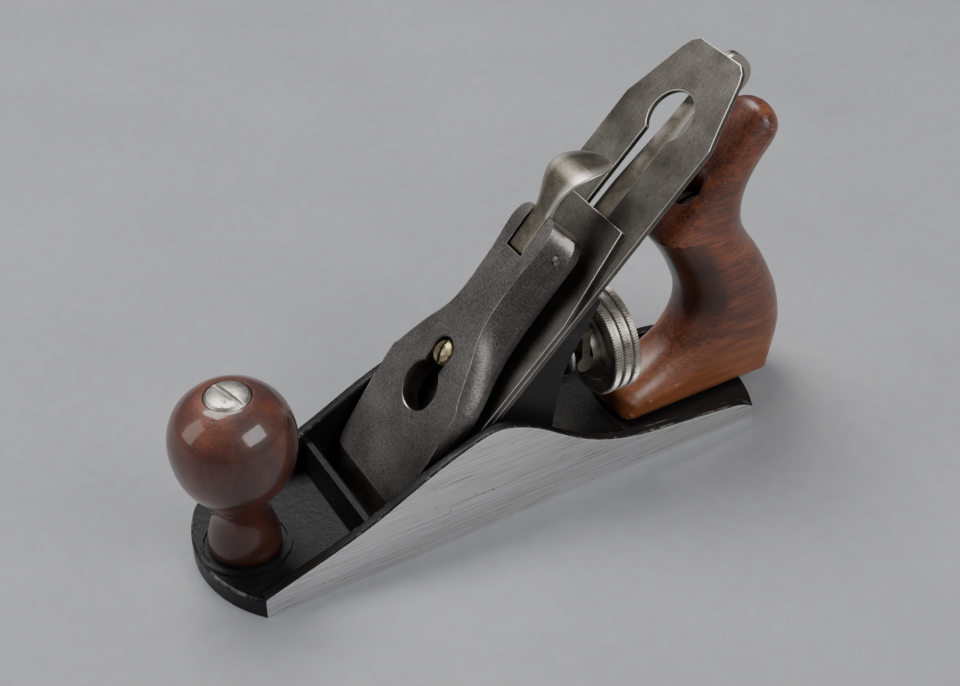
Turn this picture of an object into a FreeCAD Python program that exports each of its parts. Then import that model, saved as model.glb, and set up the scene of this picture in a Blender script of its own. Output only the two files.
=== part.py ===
import FreeCAD, Part
import math
import os

from FreeCAD import Placement, Rotation, Vector

# Iron smooth plane.  Millimetres.  +X runs from toe to heel, +Y to the right hand side,
# +Z up; the origin is on the sole, half way across, close to the middle of the length.

# ---- body casting -------------------------------------------------------------------
body_width = 54.0
cheek_thickness = 3.8
bed_thickness = 5.0
toe_thickness = 7.4
toe_corner_x = -104.5
toe_bulge = 10.8
heel_corner_x = 84.4
heel_bulge = 7.1
cheek_peak_height = 40.8
cheek_peak_x = -20.8
cheek_edge_radius = 0.9
toe_edge_radius = 1.0
mouth_x = -60.3
mouth_width = 46.0
mouth_front_gap = 3.3
mouth_back_gap = 2.0
rib_height = 18.0
rib_thickness = 3.0
seat_height = 1.5
boss_height = 0.8

# ---- bed of the cutter --------------------------------------------------------------
bed_angle = 45.0
iron_width = 44.45
iron_thickness = 2.1
iron_length = 192.5
iron_shoulder = 165.5
iron_top_width = 27.6
iron_edge_lift = 0.3
bevel_angle = 25.0
slot_width = 11.5
slot_start = 32.0
slot_eye = 167.0
slot_eye_radius = 9.0

# ---- cap iron -----------------------------------------------------------------------
cap_iron_length = 129.3
cap_iron_thickness = 2.2
cap_iron_setback = 1.5
cap_iron_taper_start = 95.0
cap_iron_top_width = 33.2
hump_height = 3.0
hump_length = 22.0
cap_iron_screw_place = 42.0
cap_iron_screw_radius = 3.5
cap_iron_screw_head_radius = 7.4
cap_iron_screw_head = 2.4

# ---- frog ---------------------------------------------------------------------------
frog_width = 38.0
frog_top = 108.0
frog_face_thickness = 5.9
frog_web_thickness = 4.0
frog_base_thickness = 5.0
frog_base_back_x = 4.0
frog_travel_forward = 1.0
frog_travel_back = 2.0
frog_screw_x = -22.0
frog_screw_spacing = 21.0
frog_screw_radius = 2.7
frog_screw_head_radius = 4.6
washer_thickness = 1.2

# ---- cutter adjustment --------------------------------------------------------------
wheel_height = 37.5
wheel_radius = 18.9
wheel_front_x = 29.5
wheel_width = 10.5
stud_radius = 3.2
stud_end_x = 41.0
hub_front_x = 18.0
groove_center_x = 23.3
groove_root_radius = 4.6
hub_flange_radius = 8.6
sleeve_radius = 6.4
yoke_pivot_place = 95.0
yoke_pivot_depth = 14.4
yoke_thickness = 5.6
tongue_radius = 2.6
cutter_travel = 2.6
prong_radius = 3.2
prong_reach = 9.6
yoke_pin_radius = 1.5

# ---- lateral lever ------------------------------------------------------------------
lateral_pivot_place = 103.0
lateral_thickness = 1.6
lateral_width = 10.0
lateral_end = 196.0
lateral_depth = 6.0
lateral_rivet_radius = 2.0
lateral_disc_place = 113.5
lateral_disc_radius = 4.0
tab_depth = 13.0

# ---- lever cap and cam --------------------------------------------------------------
lever_cap_end = 14.5
lever_cap_width = 43.6
lever_cap_top = 119.5
keyhole_place = 64.0
keyhole_small_radius = 5.1
keyhole_large_radius = 8.3
keyhole_release = 13.5
notch_width = 9.0
notch_start = 103.7
cam_pivot_place = 110.0
cam_pivot_height = 13.0
cam_pin_radius = 1.6
cam_strip_width = 8.4
thumb_tab_width = 17.4
cap_screw_radius = 2.9
cap_screw_head_radius = 4.7
cap_screw_head_seat = 12.3
spring_rivet_place = 86.5
spring_rivet_radius = 1.6
spring_rivet_top = 15.0
spring_thickness = 0.8

# ---- handles ------------------------------------------------------------------------
knob_x = -99.6
knob_diameter = 40.0
knob_height = 60.6
knob_base_radius = 13.2
tote_width = 26.0
tote_front_x = 37.0
tote_base_height = 19.0
handle_rod_radius = 3.0
nut_radius = 7.2
nut_flange = 3.0
nut_dome = 2.2
nut_neck = 8.0
tote_nut_place = 75.0
tote_nut_radius = 5.6
tote_rod_lean = 15.0
horn_top_z = 115.5

# ---- clearances ---------------------------------------------------------------------
wheel_over_toe = 2.1
running = 0.06
loose = 0.3
free = 0.5

half_body = body_width / 2
seat_z = bed_thickness + seat_height
iron_back = -iron_thickness
hole_for_rod = handle_rod_radius + running
BED = Placement(Vector(mouth_x, 0, 0), Rotation(Vector(0, 1, 0), -bed_angle))


def moved(shape, placement):
    """Copy a shape and carry it along by a placement."""
    copy = shape.copy()
    copy.Placement = placement.multiply(copy.Placement)
    return copy


def on_bed(shape):
    """Place a shape drawn as (along the bed, across, out of the bed) on the sloping bed."""
    return moved(shape, BED)


def bed_point(along, out):
    """Return the upright position of a point on the middle of the bed."""
    return BED.multVec(Vector(along, 0, out))


def box(x0, x1, y0, y1, z0, z1):
    return Part.makeBox(x1 - x0, y1 - y0, z1 - z0, Vector(x0, y0, z0))


def side_plate(outline, y0, y1):
    """Extrude an outline given as (x, z) points from y0 to y1."""
    points = [Vector(x, y0, z) for x, z in outline]
    wire = Part.makePolygon(points + points[:1])
    return Part.Face(wire).extrude(Vector(0, y1 - y0, 0))


def plan_plate(outline, z0, z1):
    """Extrude an outline given as (x, y) points from z0 to z1."""
    points = [Vector(x, y, z0) for x, y in outline]
    wire = Part.makePolygon(points + points[:1])
    return Part.Face(wire).extrude(Vector(0, 0, z1 - z0))


def curve_through(points):
    """Return a smooth edge through points."""
    spline = Part.BSplineCurve()
    spline.interpolate(points)
    return spline.toShape()


def turned(profile, base, direction=Vector(0, 0, 1)):
    """Turn a polygon of (radius, height) points about an axis."""
    points = [Vector(radius, 0, height) for radius, height in profile]
    face = Part.Face(Part.makePolygon(points + points[:1]))
    solid = face.revolve(Vector(0, 0, 0), Vector(0, 0, 1), 360)
    return moved(solid, Placement(base, Rotation(Vector(0, 0, 1), direction)))


def upright(radius, x, y, z0, z1):
    return Part.makeCylinder(radius, z1 - z0, Vector(x, y, z0))


def cross_pin(radius, x, z, half_length):
    return Part.makeCylinder(radius, 2 * half_length, Vector(x, -half_length, z), Vector(0, 1, 0))


def lying(radius, x0, x1, z):
    return Part.makeCylinder(radius, x1 - x0, Vector(x0, 0, z), Vector(1, 0, 0))


def joined(shapes):
    result = shapes[0]
    for shape in shapes[1:]:
        result = result.fuse(shape)
    return result.removeSplitter()


def cut(shape, tools):
    for tool in tools:
        shape = shape.cut(tool)
    return shape


def both_sides(make):
    """Build a shape for the left and the right hand side."""
    return [make(side) for side in (-1, 1)]


def edges_where(shape, test):
    return [edge for edge in shape.Edges if test(edge)]


# ---- body casting -------------------------------------------------------------------
def sole_outline():
    left = -half_body
    right = half_body
    toe = Part.Arc(
        Vector(toe_corner_x, right, 0),
        Vector(toe_corner_x - toe_bulge, 0, 0),
        Vector(toe_corner_x, left, 0),
    )
    heel = Part.Arc(
        Vector(heel_corner_x, left, 0),
        Vector(heel_corner_x + heel_bulge, 0, 0),
        Vector(heel_corner_x, right, 0),
    )
    left_side = Part.LineSegment(Vector(toe_corner_x, left, 0), Vector(heel_corner_x, left, 0))
    right_side = Part.LineSegment(Vector(heel_corner_x, right, 0), Vector(toe_corner_x, right, 0))
    edges = [toe.toShape(), left_side.toShape(), heel.toShape(), right_side.toShape()]
    return Part.Face(Part.Wire(edges))


def sole_plate():
    return sole_outline().extrude(Vector(0, 0, bed_thickness))


def toe_plate():
    """Thicker front of the casting, as far as the cross rib."""
    whole = sole_outline().extrude(Vector(0, 0, toe_thickness))
    rib_foot = mouth_x - 8.0
    plate = whole.common(box(toe_corner_x - toe_bulge - 1, rib_foot, -half_body, half_body, 0, toe_thickness))
    curved = toe_corner_x + 1
    rim = edges_where(plate, lambda e: e.BoundBox.ZMin > toe_thickness - 0.1 and e.BoundBox.XMax < curved)
    return plate.makeFillet(toe_edge_radius, rim)


def cheek(side):
    """Side wall: low at the toe, a hump beside the cutter, then a long low rail to the heel."""
    outer = side * half_body
    inner = side * (half_body - cheek_thickness)
    peak_x = cheek_peak_x
    peak = cheek_peak_height
    crest = [
        (toe_corner_x, toe_thickness + 0.9),
        (peak_x - 72.0, peak - 28.5),
        (peak_x - 58.0, peak - 23.7),
        (peak_x - 43.6, peak - 17.9),
        (peak_x - 29.2, peak - 10.5),
        (peak_x - 14.6, peak - 3.9),
        (peak_x - 7.3, peak - 1.3),
        (peak_x, peak),
        (peak_x + 7.5, peak - 1.9),
        (peak_x + 15.1, peak - 5.7),
        (peak_x + 23.0, peak - 11.3),
        (peak_x + 31.0, peak - 16.9),
        (peak_x + 39.2, peak - 21.4),
        (peak_x + 47.5, peak - 24.6),
        (peak_x + 56.0, peak - 26.8),
        (peak_x + 73.0, peak - 29.0),
        (heel_corner_x - 12.0, bed_thickness + 4.4),
        (heel_corner_x - 3.0, bed_thickness + 2.4),
        (heel_corner_x, bed_thickness + 0.4),
    ]
    top = curve_through([Vector(x, outer, z) for x, z in crest])
    corners = [
        Vector(heel_corner_x, outer, crest[-1][1]),
        Vector(heel_corner_x, outer, 0),
        Vector(toe_corner_x, outer, 0),
        Vector(toe_corner_x, outer, crest[0][1]),
    ]
    wire = Part.Wire([top] + Part.makePolygon(corners).Edges)
    wall = Part.Face(wire).extrude(Vector(0, inner - outer, 0))
    long_top = edges_where(wall, lambda e: e.BoundBox.ZMin > 4 and e.BoundBox.XLength > 100)
    return wall.makeFillet(cheek_edge_radius, long_top)


def cross_rib():
    """Leaning wall between the cheeks in front of the mouth."""
    foot = mouth_x - 9.1
    lean = 2.7
    outline = [
        (foot, bed_thickness / 2),
        (foot + rib_thickness, bed_thickness / 2),
        (foot + lean + rib_thickness, rib_height - 1.0),
        (foot + lean + rib_thickness - 1.0, rib_height),
        (foot + lean, rib_height),
    ]
    inner = half_body - cheek_thickness / 2
    return side_plate(outline, -inner, inner)


def mouth_opening():
    """Slot across the sole: upright in front, sloping with the cutter behind."""
    front = mouth_x - mouth_front_gap
    back = iron_back * math.sqrt(2) - mouth_back_gap * math.sqrt(2)
    top = bed_thickness + seat_height + 1
    outline = [(front, -1), (mouth_x - back - 1, -1), (mouth_x - back + top, top), (front, top)]
    return side_plate(outline, -mouth_width / 2, mouth_width / 2)


def frog_seat():
    front = mouth_x + seat_z + (iron_thickness + mouth_back_gap) * math.sqrt(2)
    half = frog_width / 2 - 2
    return box(front, frog_base_back_x + frog_travel_back, -half, half, bed_thickness / 2, seat_z)


def body_casting():
    pieces = [sole_plate(), toe_plate(), cross_rib(), frog_seat()] + both_sides(cheek)
    pieces.append(upright(knob_base_radius + 2.1, knob_x, 0, bed_thickness, toe_thickness + boss_height))
    casting = cut(joined(pieces), [mouth_opening()])
    casting = cut(casting, [upright(knob_base_radius + loose, knob_x, 0, toe_thickness, 20)])
    rod_holes = [
        upright(hole_for_rod, knob_x, 0, 1.6, 30),
        tote_rod(hole_for_rod, -3.5, 20),
    ]
    screw_holes = [
        upright(frog_screw_radius + running, frog_screw_x, side * frog_screw_spacing / 2, 1.6, 30)
        for side in (-1, 1)
    ]
    return cut(casting, rod_holes + screw_holes)


# ---- front knob ---------------------------------------------------------------------
def knob():
    """Turned ball on a narrow waist and a spreading foot."""
    ball = knob_diameter / 2
    base = toe_thickness
    top = base + knob_height
    outline = [
        Vector(knob_base_radius, 0, base),
        Vector(knob_base_radius - 0.3, 0, base + 2.9),
        Vector(knob_base_radius - 1.6, 0, base + 8.0),
        Vector(knob_base_radius - 2.4, 0, base + 14.6),
        Vector(knob_base_radius - 0.6, 0, base + 21.4),
        Vector(ball - 3.2, 0, base + 29.6),
        Vector(ball - 0.6, 0, base + 36.8),
        Vector(ball, 0, base + 43.4),
        Vector(ball - 2.2, 0, base + 51.8),
        Vector(ball - 8.0, 0, base + 58.3),
        Vector(nut_radius + 0.7, 0, top),
    ]
    side = curve_through(outline)
    corners = [outline[-1], Vector(0, 0, top), Vector(0, 0, base), outline[0]]
    face = Part.Face(Part.Wire([side] + Part.makePolygon(corners).Edges))
    wood = face.revolve(Vector(0, 0, 0), Vector(0, 0, 1), 360)
    wood = moved(wood, Placement(Vector(knob_x, 0, 0), Rotation()))
    recess = upright(nut_radius + running, knob_x, 0, top - nut_flange, top + 1)
    neck = upright(nut_neck_radius() + running, knob_x, 0, top - nut_flange - nut_neck, top)
    bore = upright(hole_for_rod, knob_x, 0, base - 1, top)
    return cut(wood, [recess, neck, bore])


def nut_neck_radius():
    return handle_rod_radius + 1.6


def slotted_nut(radius, angle):
    """Domed nut with a neck and a screwdriver slot; its shoulder is at height zero."""
    dome = [
        (0, -nut_neck),
        (nut_neck_radius(), -nut_neck),
        (nut_neck_radius(), 0),
        (radius, 0),
        (radius, nut_flange - 0.4),
        (radius * 0.88, nut_flange + nut_dome * 0.45),
        (radius * 0.6, nut_flange + nut_dome * 0.85),
        (0, nut_flange + nut_dome),
    ]
    body = turned(dome, Vector(0, 0, 0))
    slot = box(-radius - 1, radius + 1, -0.8, 0.8, nut_flange - 0.3, nut_flange + nut_dome + 1)
    slot = moved(slot, Placement(Vector(0, 0, 0), Rotation(Vector(0, 0, 1), angle)))
    bore = upright(hole_for_rod, 0, 0, -nut_neck - 1, 0.5)
    return cut(body, [slot, bore])


def knob_stud():
    return upright(handle_rod_radius, knob_x, 0, 1.8, toe_thickness + knob_height - nut_flange)


def knob_nut():
    seat = Vector(knob_x, 0, toe_thickness + knob_height - nut_flange)
    return moved(slotted_nut(nut_radius, 35), Placement(seat, Rotation()))


# ---- tote ---------------------------------------------------------------------------
def tote_rod_x():
    return tote_front_x + 45.0


def oval(x_front, x_rear, z, half_width):
    """Level section of the grip: a soft-cornered oval."""
    middle = (x_front + x_rear) / 2
    reach = (x_rear - x_front) / 2
    points = []
    count = 20
    for step in range(count):
        angle = 2 * math.pi * step / count
        c = math.cos(angle)
        s = math.sin(angle)
        x = middle + reach * math.copysign(abs(c) ** 0.8, c)
        y = half_width * math.copysign(abs(s) ** 0.7, s)
        points.append(Vector(x, y, z))
    spline = Part.BSplineCurve()
    spline.interpolate(Points=points, PeriodicFlag=True)
    return Part.Wire([spline.toShape()])


def tote_grip():
    """Swept grip and horn, given by its front and rear edge at each height."""
    half = tote_width / 2
    front = tote_front_x
    levels = [
        (bed_thickness, front + 24.0, front + 66.0, half),
        (14.0, front + 24.5, front + 73.5, half),
        (22.0, front + 25.5, front + 78.0, half),
        (29.0, front + 28.5, front + 77.0, half),
        (37.0, front + 31.0, front + 74.8, half),
        (46.0, front + 30.8, front + 70.0, half - 0.6),
        (55.0, front + 27.4, front + 64.8, half - 1.2),
        (64.0, front + 21.8, front + 58.8, half - 1.6),
        (73.0, front + 17.2, front + 54.3, half - 1.8),
        (82.0, front + 24.0, front + 54.4, half - 2.2),
        (92.0, front + 33.0, front + 58.6, half - 2.6),
        (101.0, front + 41.0, front + 65.4, half - 3.0),
        (108.0, front + 47.0, front + 67.0, half - 4.0),
        (113.0, front + 51.0, front + 63.5, half - 6.5),
        (horn_top_z, front + 54.0, front + 59.5, half - 10.0),
    ]
    sections = [oval(x0, x1, z, width) for z, x0, x1, width in levels]
    return Part.makeLoft(sections, True, False)


def tote_foot():
    """Rounded toe of the handle, lying on the bed."""
    half = tote_width / 2
    nose = half - 3.0
    start = tote_front_x
    outline = [
        (start + nose, -half),
        (start + 32.0, -half),
        (start + 32.0, half),
        (start + nose, half),
    ]
    block = plan_plate(outline, bed_thickness, bed_thickness + tote_base_height)
    rise = bed_thickness + tote_base_height
    front = Part.Face(
        Part.Wire(
            [
                Part.Arc(
                    Vector(start + nose, -half, bed_thickness),
                    Vector(start, 0, bed_thickness),
                    Vector(start + nose, half, bed_thickness),
                ).toShape(),
                Part.makeLine(
                    Vector(start + nose, half, bed_thickness),
                    Vector(start + nose, -half, bed_thickness),
                ),
            ]
        )
    ).extrude(Vector(0, 0, tote_base_height))
    low = wheel_height - wheel_radius - wheel_over_toe
    slope = side_plate(
        [
            (start - 1, low - 0.6),
            (start + 8.5, low + 1.4),
            (start + 14, low + 3.6),
            (start + 24, rise + 0.5),
            (start + 24, rise + 5),
            (start - 1, rise + 5),
        ],
        -half - 1,
        half + 1,
    )
    return cut(joined([block, front]), [slope])


def tote_rod_slope():
    """Unit vector up the sloping rod that runs inside the handle."""
    foot = Vector(tote_rod_x(), 0, bed_thickness)
    head = Vector(tote_rod_x() - tote_rod_lean, 0, horn_top_z - 23.0)
    way = head.sub(foot)
    way.normalize()
    return foot, way


def tote_rod(radius, start, end):
    foot, way = tote_rod_slope()
    return Part.makeCylinder(radius, end - start, foot.add(Vector(way).multiply(start)), way)


def tote():
    wood = joined([tote_grip(), tote_foot()])
    top = tote_nut_place + 30
    return cut(
        wood,
        [
            tote_rod(hole_for_rod, -10, top),
            tote_rod(nut_neck_radius() + running, tote_nut_place - nut_neck, top),
            tote_rod(tote_nut_radius + running, tote_nut_place, top),
        ],
    )


def tote_stud():
    return tote_rod(handle_rod_radius, -3.2, tote_nut_place)


def tote_nut():
    foot, way = tote_rod_slope()
    seat = foot.add(Vector(way).multiply(tote_nut_place))
    return moved(slotted_nut(tote_nut_radius, 0), Placement(seat, Rotation(Vector(0, 0, 1), way)))


# ---- frog ---------------------------------------------------------------------------
def frog_wedge():
    """Side outline of the whole frog, face along the back of the cutter."""
    lean = iron_back * math.sqrt(2)
    face_foot = (mouth_x + seat_z - lean, seat_z)
    face_top = bed_point(frog_top, iron_back)
    rear_top = bed_point(frog_top, iron_back - frog_face_thickness)
    back = frog_base_back_x
    outline = [
        face_foot,
        (face_top.x, face_top.z),
        (rear_top.x, rear_top.z),
        (back + 8.8, seat_z + 48.9),
        (back + 4.5, seat_z + 40.3),
        (back + 0.8, seat_z + 22.6),
        (back, seat_z),
    ]
    half = frog_width / 2
    return side_plate(outline, -half, half)


def frog_hollow():
    """Space between the two side webs, open to the back."""
    half = frog_width / 2 - frog_web_thickness
    floor = seat_z + frog_base_thickness
    skin = iron_back - frog_face_thickness
    low_x = mouth_x + floor - skin * math.sqrt(2)
    high = bed_point(frog_top + 5, skin)
    outline = [(low_x, floor), (high.x, high.z), (high.x + 40, high.z), (high.x + 40, floor)]
    return side_plate(outline, -half, half)


def frog_screw_slot(side, width, z0, z1):
    """Slotted hole, long enough for the travel of the frog."""
    y = side * frog_screw_spacing / 2
    ahead = frog_screw_x - frog_travel_back - free
    behind = frog_screw_x + frog_travel_forward + free
    ends = [upright(width, x, y, z0, z1) for x in (ahead, behind)]
    return joined(ends + [box(ahead, behind, y - width, y + width, z0, z1)])


def stud_boss():
    plate_back = mouth_x + wheel_height - (iron_back - frog_face_thickness) * math.sqrt(2)
    boss = lying(stud_radius + 3.8, plate_back - 6.0, frog_base_back_x - 1.0, wheel_height)
    return boss.common(frog_wedge())


def yoke_lug(side):
    """Ear behind the face that carries the cross pin of the yoke."""
    inner = side * (yoke_thickness / 2 + loose)
    outer = side * (yoke_thickness / 2 + loose + 3.6)
    skin = iron_back - frog_face_thickness + 0.5
    depth = yoke_pivot_depth + 4.0
    place = yoke_pivot_place
    outline = [
        (place - 12.0, skin),
        (place - 5.0, -depth),
        (place + 4.5, -depth),
        (place + 8.5, skin),
    ]
    return on_bed(side_plate(outline, inner, outer))


def yoke_slot():
    """Window in the face for the yoke and the head of the cap iron screw."""
    half = yoke_thickness / 2 + loose
    start = yoke_pivot_place - tongue_radius - 6.0
    end = yoke_pivot_place + tongue_radius + 2.2
    return on_bed(box(start, end, -half, half, -40, 5))


def screw_channel():
    """Shallow channel down the face that clears the head of the cap iron screw."""
    half = cap_iron_screw_head_radius + free
    start = cap_iron_screw_place - half - cutter_travel
    end = cap_iron_screw_place + half + cutter_travel
    return on_bed(box(start, end, -half, half, iron_back - cap_iron_screw_head - free, 5))


def lateral_recess():
    """Shallow seat across the top of the face for the lateral lever and its disc."""
    half = slot_width / 2 + 3.2
    floor = -(lateral_depth + running)
    return on_bed(box(lateral_pivot_place - 4.4, frog_top + 5, -half, half, floor, 5))


def frog():
    pieces = [cut(frog_wedge(), [frog_hollow()]), stud_boss()] + both_sides(yoke_lug)
    casting = joined(pieces)
    pocket_floor = seat_z + frog_base_thickness
    pocket_top = pocket_floor + 60
    tools = [yoke_slot(), screw_channel(), lateral_recess()]
    for side in (-1, 1):
        tools.append(frog_screw_slot(side, frog_screw_radius + loose, 0, pocket_floor + 1))
        tools.append(frog_screw_slot(side, frog_screw_head_radius + 1.2, pocket_floor, pocket_top))
    tools.append(lying(stud_radius + running, stud_start(), 20, wheel_height))
    pin = bed_point(yoke_pivot_place, -yoke_pivot_depth)
    tools.append(cross_pin(yoke_pin_radius + running / 2, pin.x, pin.z, 12))
    tools.append(lateral_axis_pin(lateral_rivet_radius + running, -12, 5))
    tools.append(cap_screw_shape(cap_screw_radius + running))
    return cut(casting, tools)


def frog_screw(side):
    y = side * frog_screw_spacing / 2
    bottom = seat_z + frog_base_thickness + washer_thickness
    shank = upright(frog_screw_radius, frog_screw_x, y, 2.0, bottom)
    head = upright(frog_screw_head_radius, frog_screw_x, y, bottom, bottom + 3.2)
    slot = box(frog_screw_x - 6, frog_screw_x + 6, y - 0.6, y + 0.6, bottom + 1.8, bottom + 4)
    return shank.fuse(head).removeSplitter().cut(slot)


def frog_washer(side):
    y = side * frog_screw_spacing / 2
    bottom = seat_z + frog_base_thickness
    disc = upright(frog_screw_head_radius + 0.9, frog_screw_x, y, bottom, bottom + washer_thickness)
    hole = upright(frog_screw_radius + 0.15, frog_screw_x, y, bottom - 1, bottom + 3)
    return disc.cut(hole)


# ---- cutter adjustment --------------------------------------------------------------
def stud_start():
    """Front end of the stud inside the boss of the frog."""
    return frog_base_back_x - 7.0


def adjuster_stud():
    return lying(stud_radius, stud_start() + 0.2, stud_end_x, wheel_height)


def adjuster_hub():
    """Grooved collar that the yoke grips, with a sleeve that carries the wheel."""
    half_groove = prong_radius + 0.1
    groove_front = groove_center_x - half_groove - hub_front_x
    groove_back = groove_center_x + half_groove - hub_front_x
    sleeve_start = wheel_front_x - hub_front_x - running
    sleeve_end = sleeve_start + wheel_width - 2.5
    profile = [
        (stud_radius + running, 0),
        (hub_flange_radius - 0.8, 0),
        (hub_flange_radius, 0.8),
        (hub_flange_radius, groove_front),
        (groove_root_radius, groove_front),
        (groove_root_radius, groove_back),
        (hub_flange_radius + 0.6, groove_back),
        (hub_flange_radius + 0.6, sleeve_start),
        (sleeve_radius, sleeve_start),
        (sleeve_radius, sleeve_end),
        (stud_radius + running, sleeve_end),
    ]
    return turned(profile, Vector(hub_front_x, 0, wheel_height), Vector(1, 0, 0))


def adjuster_wheel():
    """Wheel with three knurled rings on its rim and a dished face towards the handle."""
    outer = wheel_radius
    root = wheel_radius - 1.1
    ring = (wheel_width - 2 * 1.1) / 3
    bore = sleeve_radius + running
    profile = [(bore, 0), (outer - 0.7, 0), (outer, 0.7)]
    place = 0.0
    for index in range(3):
        place += ring
        last = index == 2
        if not last:
            profile += [(outer, place), (root, place), (root, place + 1.1), (outer, place + 1.1)]
            place += 1.1
    profile += [
        (outer, wheel_width - 0.7),
        (outer - 0.7, wheel_width),
        (outer - 3.0, wheel_width),
        (outer - 4.4, wheel_width - 5.5),
        (bore + 2.6, wheel_width - 6.5),
        (bore + 2.0, wheel_width - 2.5),
        (bore, wheel_width - 2.5),
    ]
    return turned(profile, Vector(wheel_front_x, 0, wheel_height), Vector(1, 0, 0))


def yoke():
    """Lever with a tongue through the cutter and two prongs in the groove of the hub."""
    pivot = bed_point(yoke_pivot_place, -yoke_pivot_depth)
    half = yoke_thickness / 2
    tip = bed_point(yoke_pivot_place, cap_iron_thickness / 2)
    tongue_half = tongue_radius - 0.25
    along = BED.Rotation.multVec(Vector(1, 0, 0))
    tongue_edge = [
        pivot.add(along * tongue_half),
        tip.add(along * tongue_half),
        tip.add(along * -tongue_half),
        pivot.add(along * -tongue_half),
    ]
    tongue = side_plate([(p.x, p.z) for p in tongue_edge], -half, half)
    round_tip = cross_pin(tongue_radius, tip.x, tip.z, half)
    barrel = cross_pin(yoke_pin_radius + 2.4, pivot.x, pivot.z, half)
    fork_top = wheel_height + hub_flange_radius + 4.9
    waist = [
        (pivot.x - 3.2, pivot.z),
        (pivot.x + 3.4, pivot.z + 0.5),
        (groove_center_x + 2.2, fork_top),
        (groove_center_x - 2.2, fork_top - 1.0),
    ]
    shank = side_plate(waist, -half, half)
    bridge = box(
        groove_center_x - 2.2, groove_center_x + 2.2, -prong_reach, prong_reach, fork_top - 2.2, fork_top
    )
    prongs = []
    for side in (-1, 1):
        inner = side * (groove_root_radius + 0.5)
        outer = side * prong_reach
        low, high = min(inner, outer), max(inner, outer)
        prongs.append(
            box(groove_center_x - 1.6, groove_center_x + 1.6, low, high, wheel_height, fork_top - 1.0)
        )
        prongs.append(
            Part.makeCylinder(
                prong_radius, high - low, Vector(groove_center_x, low, wheel_height), Vector(0, 1, 0)
            )
        )
    whole = joined([tongue, round_tip, barrel, shank, bridge] + prongs)
    return whole.cut(cross_pin(yoke_pin_radius + running, pivot.x, pivot.z, half + 2))


def yoke_pin():
    pivot = bed_point(yoke_pivot_place, -yoke_pivot_depth)
    return cross_pin(yoke_pin_radius, pivot.x, pivot.z, yoke_thickness / 2 + loose + 3.6)


# ---- lateral lever ------------------------------------------------------------------
def lateral_axis_pin(radius, low, high, place=None):
    """Cylinder square to the bed at the pivot of the lateral lever."""
    if place is None:
        place = lateral_pivot_place
    return on_bed(upright(radius, place, 0, low, high))


def lateral_lever():
    """Long strip under the cutter that ends in a folded finger tab."""
    half = lateral_width / 2
    bottom = -lateral_depth
    top = bottom + lateral_thickness
    pivot = lateral_pivot_place
    strip = plan_plate(
        [
            (pivot, -4.0),
            (pivot + 8, -half),
            (lateral_end - 8, -half),
            (lateral_end - 8, half),
            (pivot + 8, half),
            (pivot, 4.0),
        ],
        bottom,
        top,
    )
    heel = upright(4.0, pivot, 0, bottom, top)
    tab_bottom = bottom - tab_depth + 1.5
    tab_top = top + 1.2
    start = lateral_end - 17.0
    outline = [
        (start, bottom + 0.2),
        (start + 3, tab_bottom + 3),
        (start + 6, tab_bottom),
        (lateral_end - 2.5, tab_bottom),
        (lateral_end, tab_bottom + 2.5),
        (lateral_end, tab_top - 2.5),
        (lateral_end - 2.5, tab_top),
        (start + 4, tab_top),
    ]
    tab = side_plate(outline, -1.9, 1.9)
    slit = box(start + 6.5, lateral_end + 1, -0.3, 0.3, bottom - 4, tab_top + 1)
    lever = joined([strip, heel, tab]).cut(slit)
    return on_bed(lever.cut(upright(lateral_rivet_radius + running, pivot, 0, -20, 20)))


def lateral_disc():
    start = -lateral_depth + lateral_thickness
    return lateral_axis_pin(lateral_disc_radius, start, -0.35, lateral_disc_place)


def lateral_rivet():
    """Rivet through the lateral lever, headed in front of it."""
    lever_top = -lateral_depth + lateral_thickness
    shank = lateral_axis_pin(lateral_rivet_radius, -9.0, lever_top + 0.1)
    head = lateral_axis_pin(lateral_rivet_radius + 1.2, lever_top + 0.1, lever_top + 1.6)
    return shank.fuse(head).removeSplitter()


# ---- cutter and cap iron ------------------------------------------------------------
def slot_with_eye():
    """Long slot of the cutter with its round enlargement near the top."""
    half = slot_width / 2
    straight = box(slot_start + half, slot_eye, -half, half, -10, 10)
    foot = upright(half, slot_start + half, 0, -10, 10)
    eye = upright(slot_eye_radius, slot_eye, 0, -10, 10)
    return joined([straight, foot, eye])


def cutter_iron():
    """Flat blade: square edge, bevel on its back, tapered top with worn corners."""
    half = iron_width / 2
    top = iron_top_width / 2
    end = iron_length
    start = iron_edge_lift
    right = [
        (start, half),
        (iron_shoulder, half),
        (iron_shoulder + 6.0, half - 2.2),
        (end - 5.0, top + 0.8),
        (end - 2.0, top - 0.8),
        (end, top - 3.6),
    ]
    left = [(x, -y) for x, y in reversed(right)]
    blade = plan_plate(right + left, iron_back, 0)
    bevel_run = iron_thickness / math.tan(math.radians(bevel_angle))
    bevel = [
        (start - 1, 0.0),
        (start, 0.0),
        (start + bevel_run, iron_back),
        (start + bevel_run, iron_back - 1),
        (start - 1, iron_back - 1),
    ]
    return on_bed(cut(blade, [slot_with_eye(), side_plate(bevel, -half - 1, half + 1)]))


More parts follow.
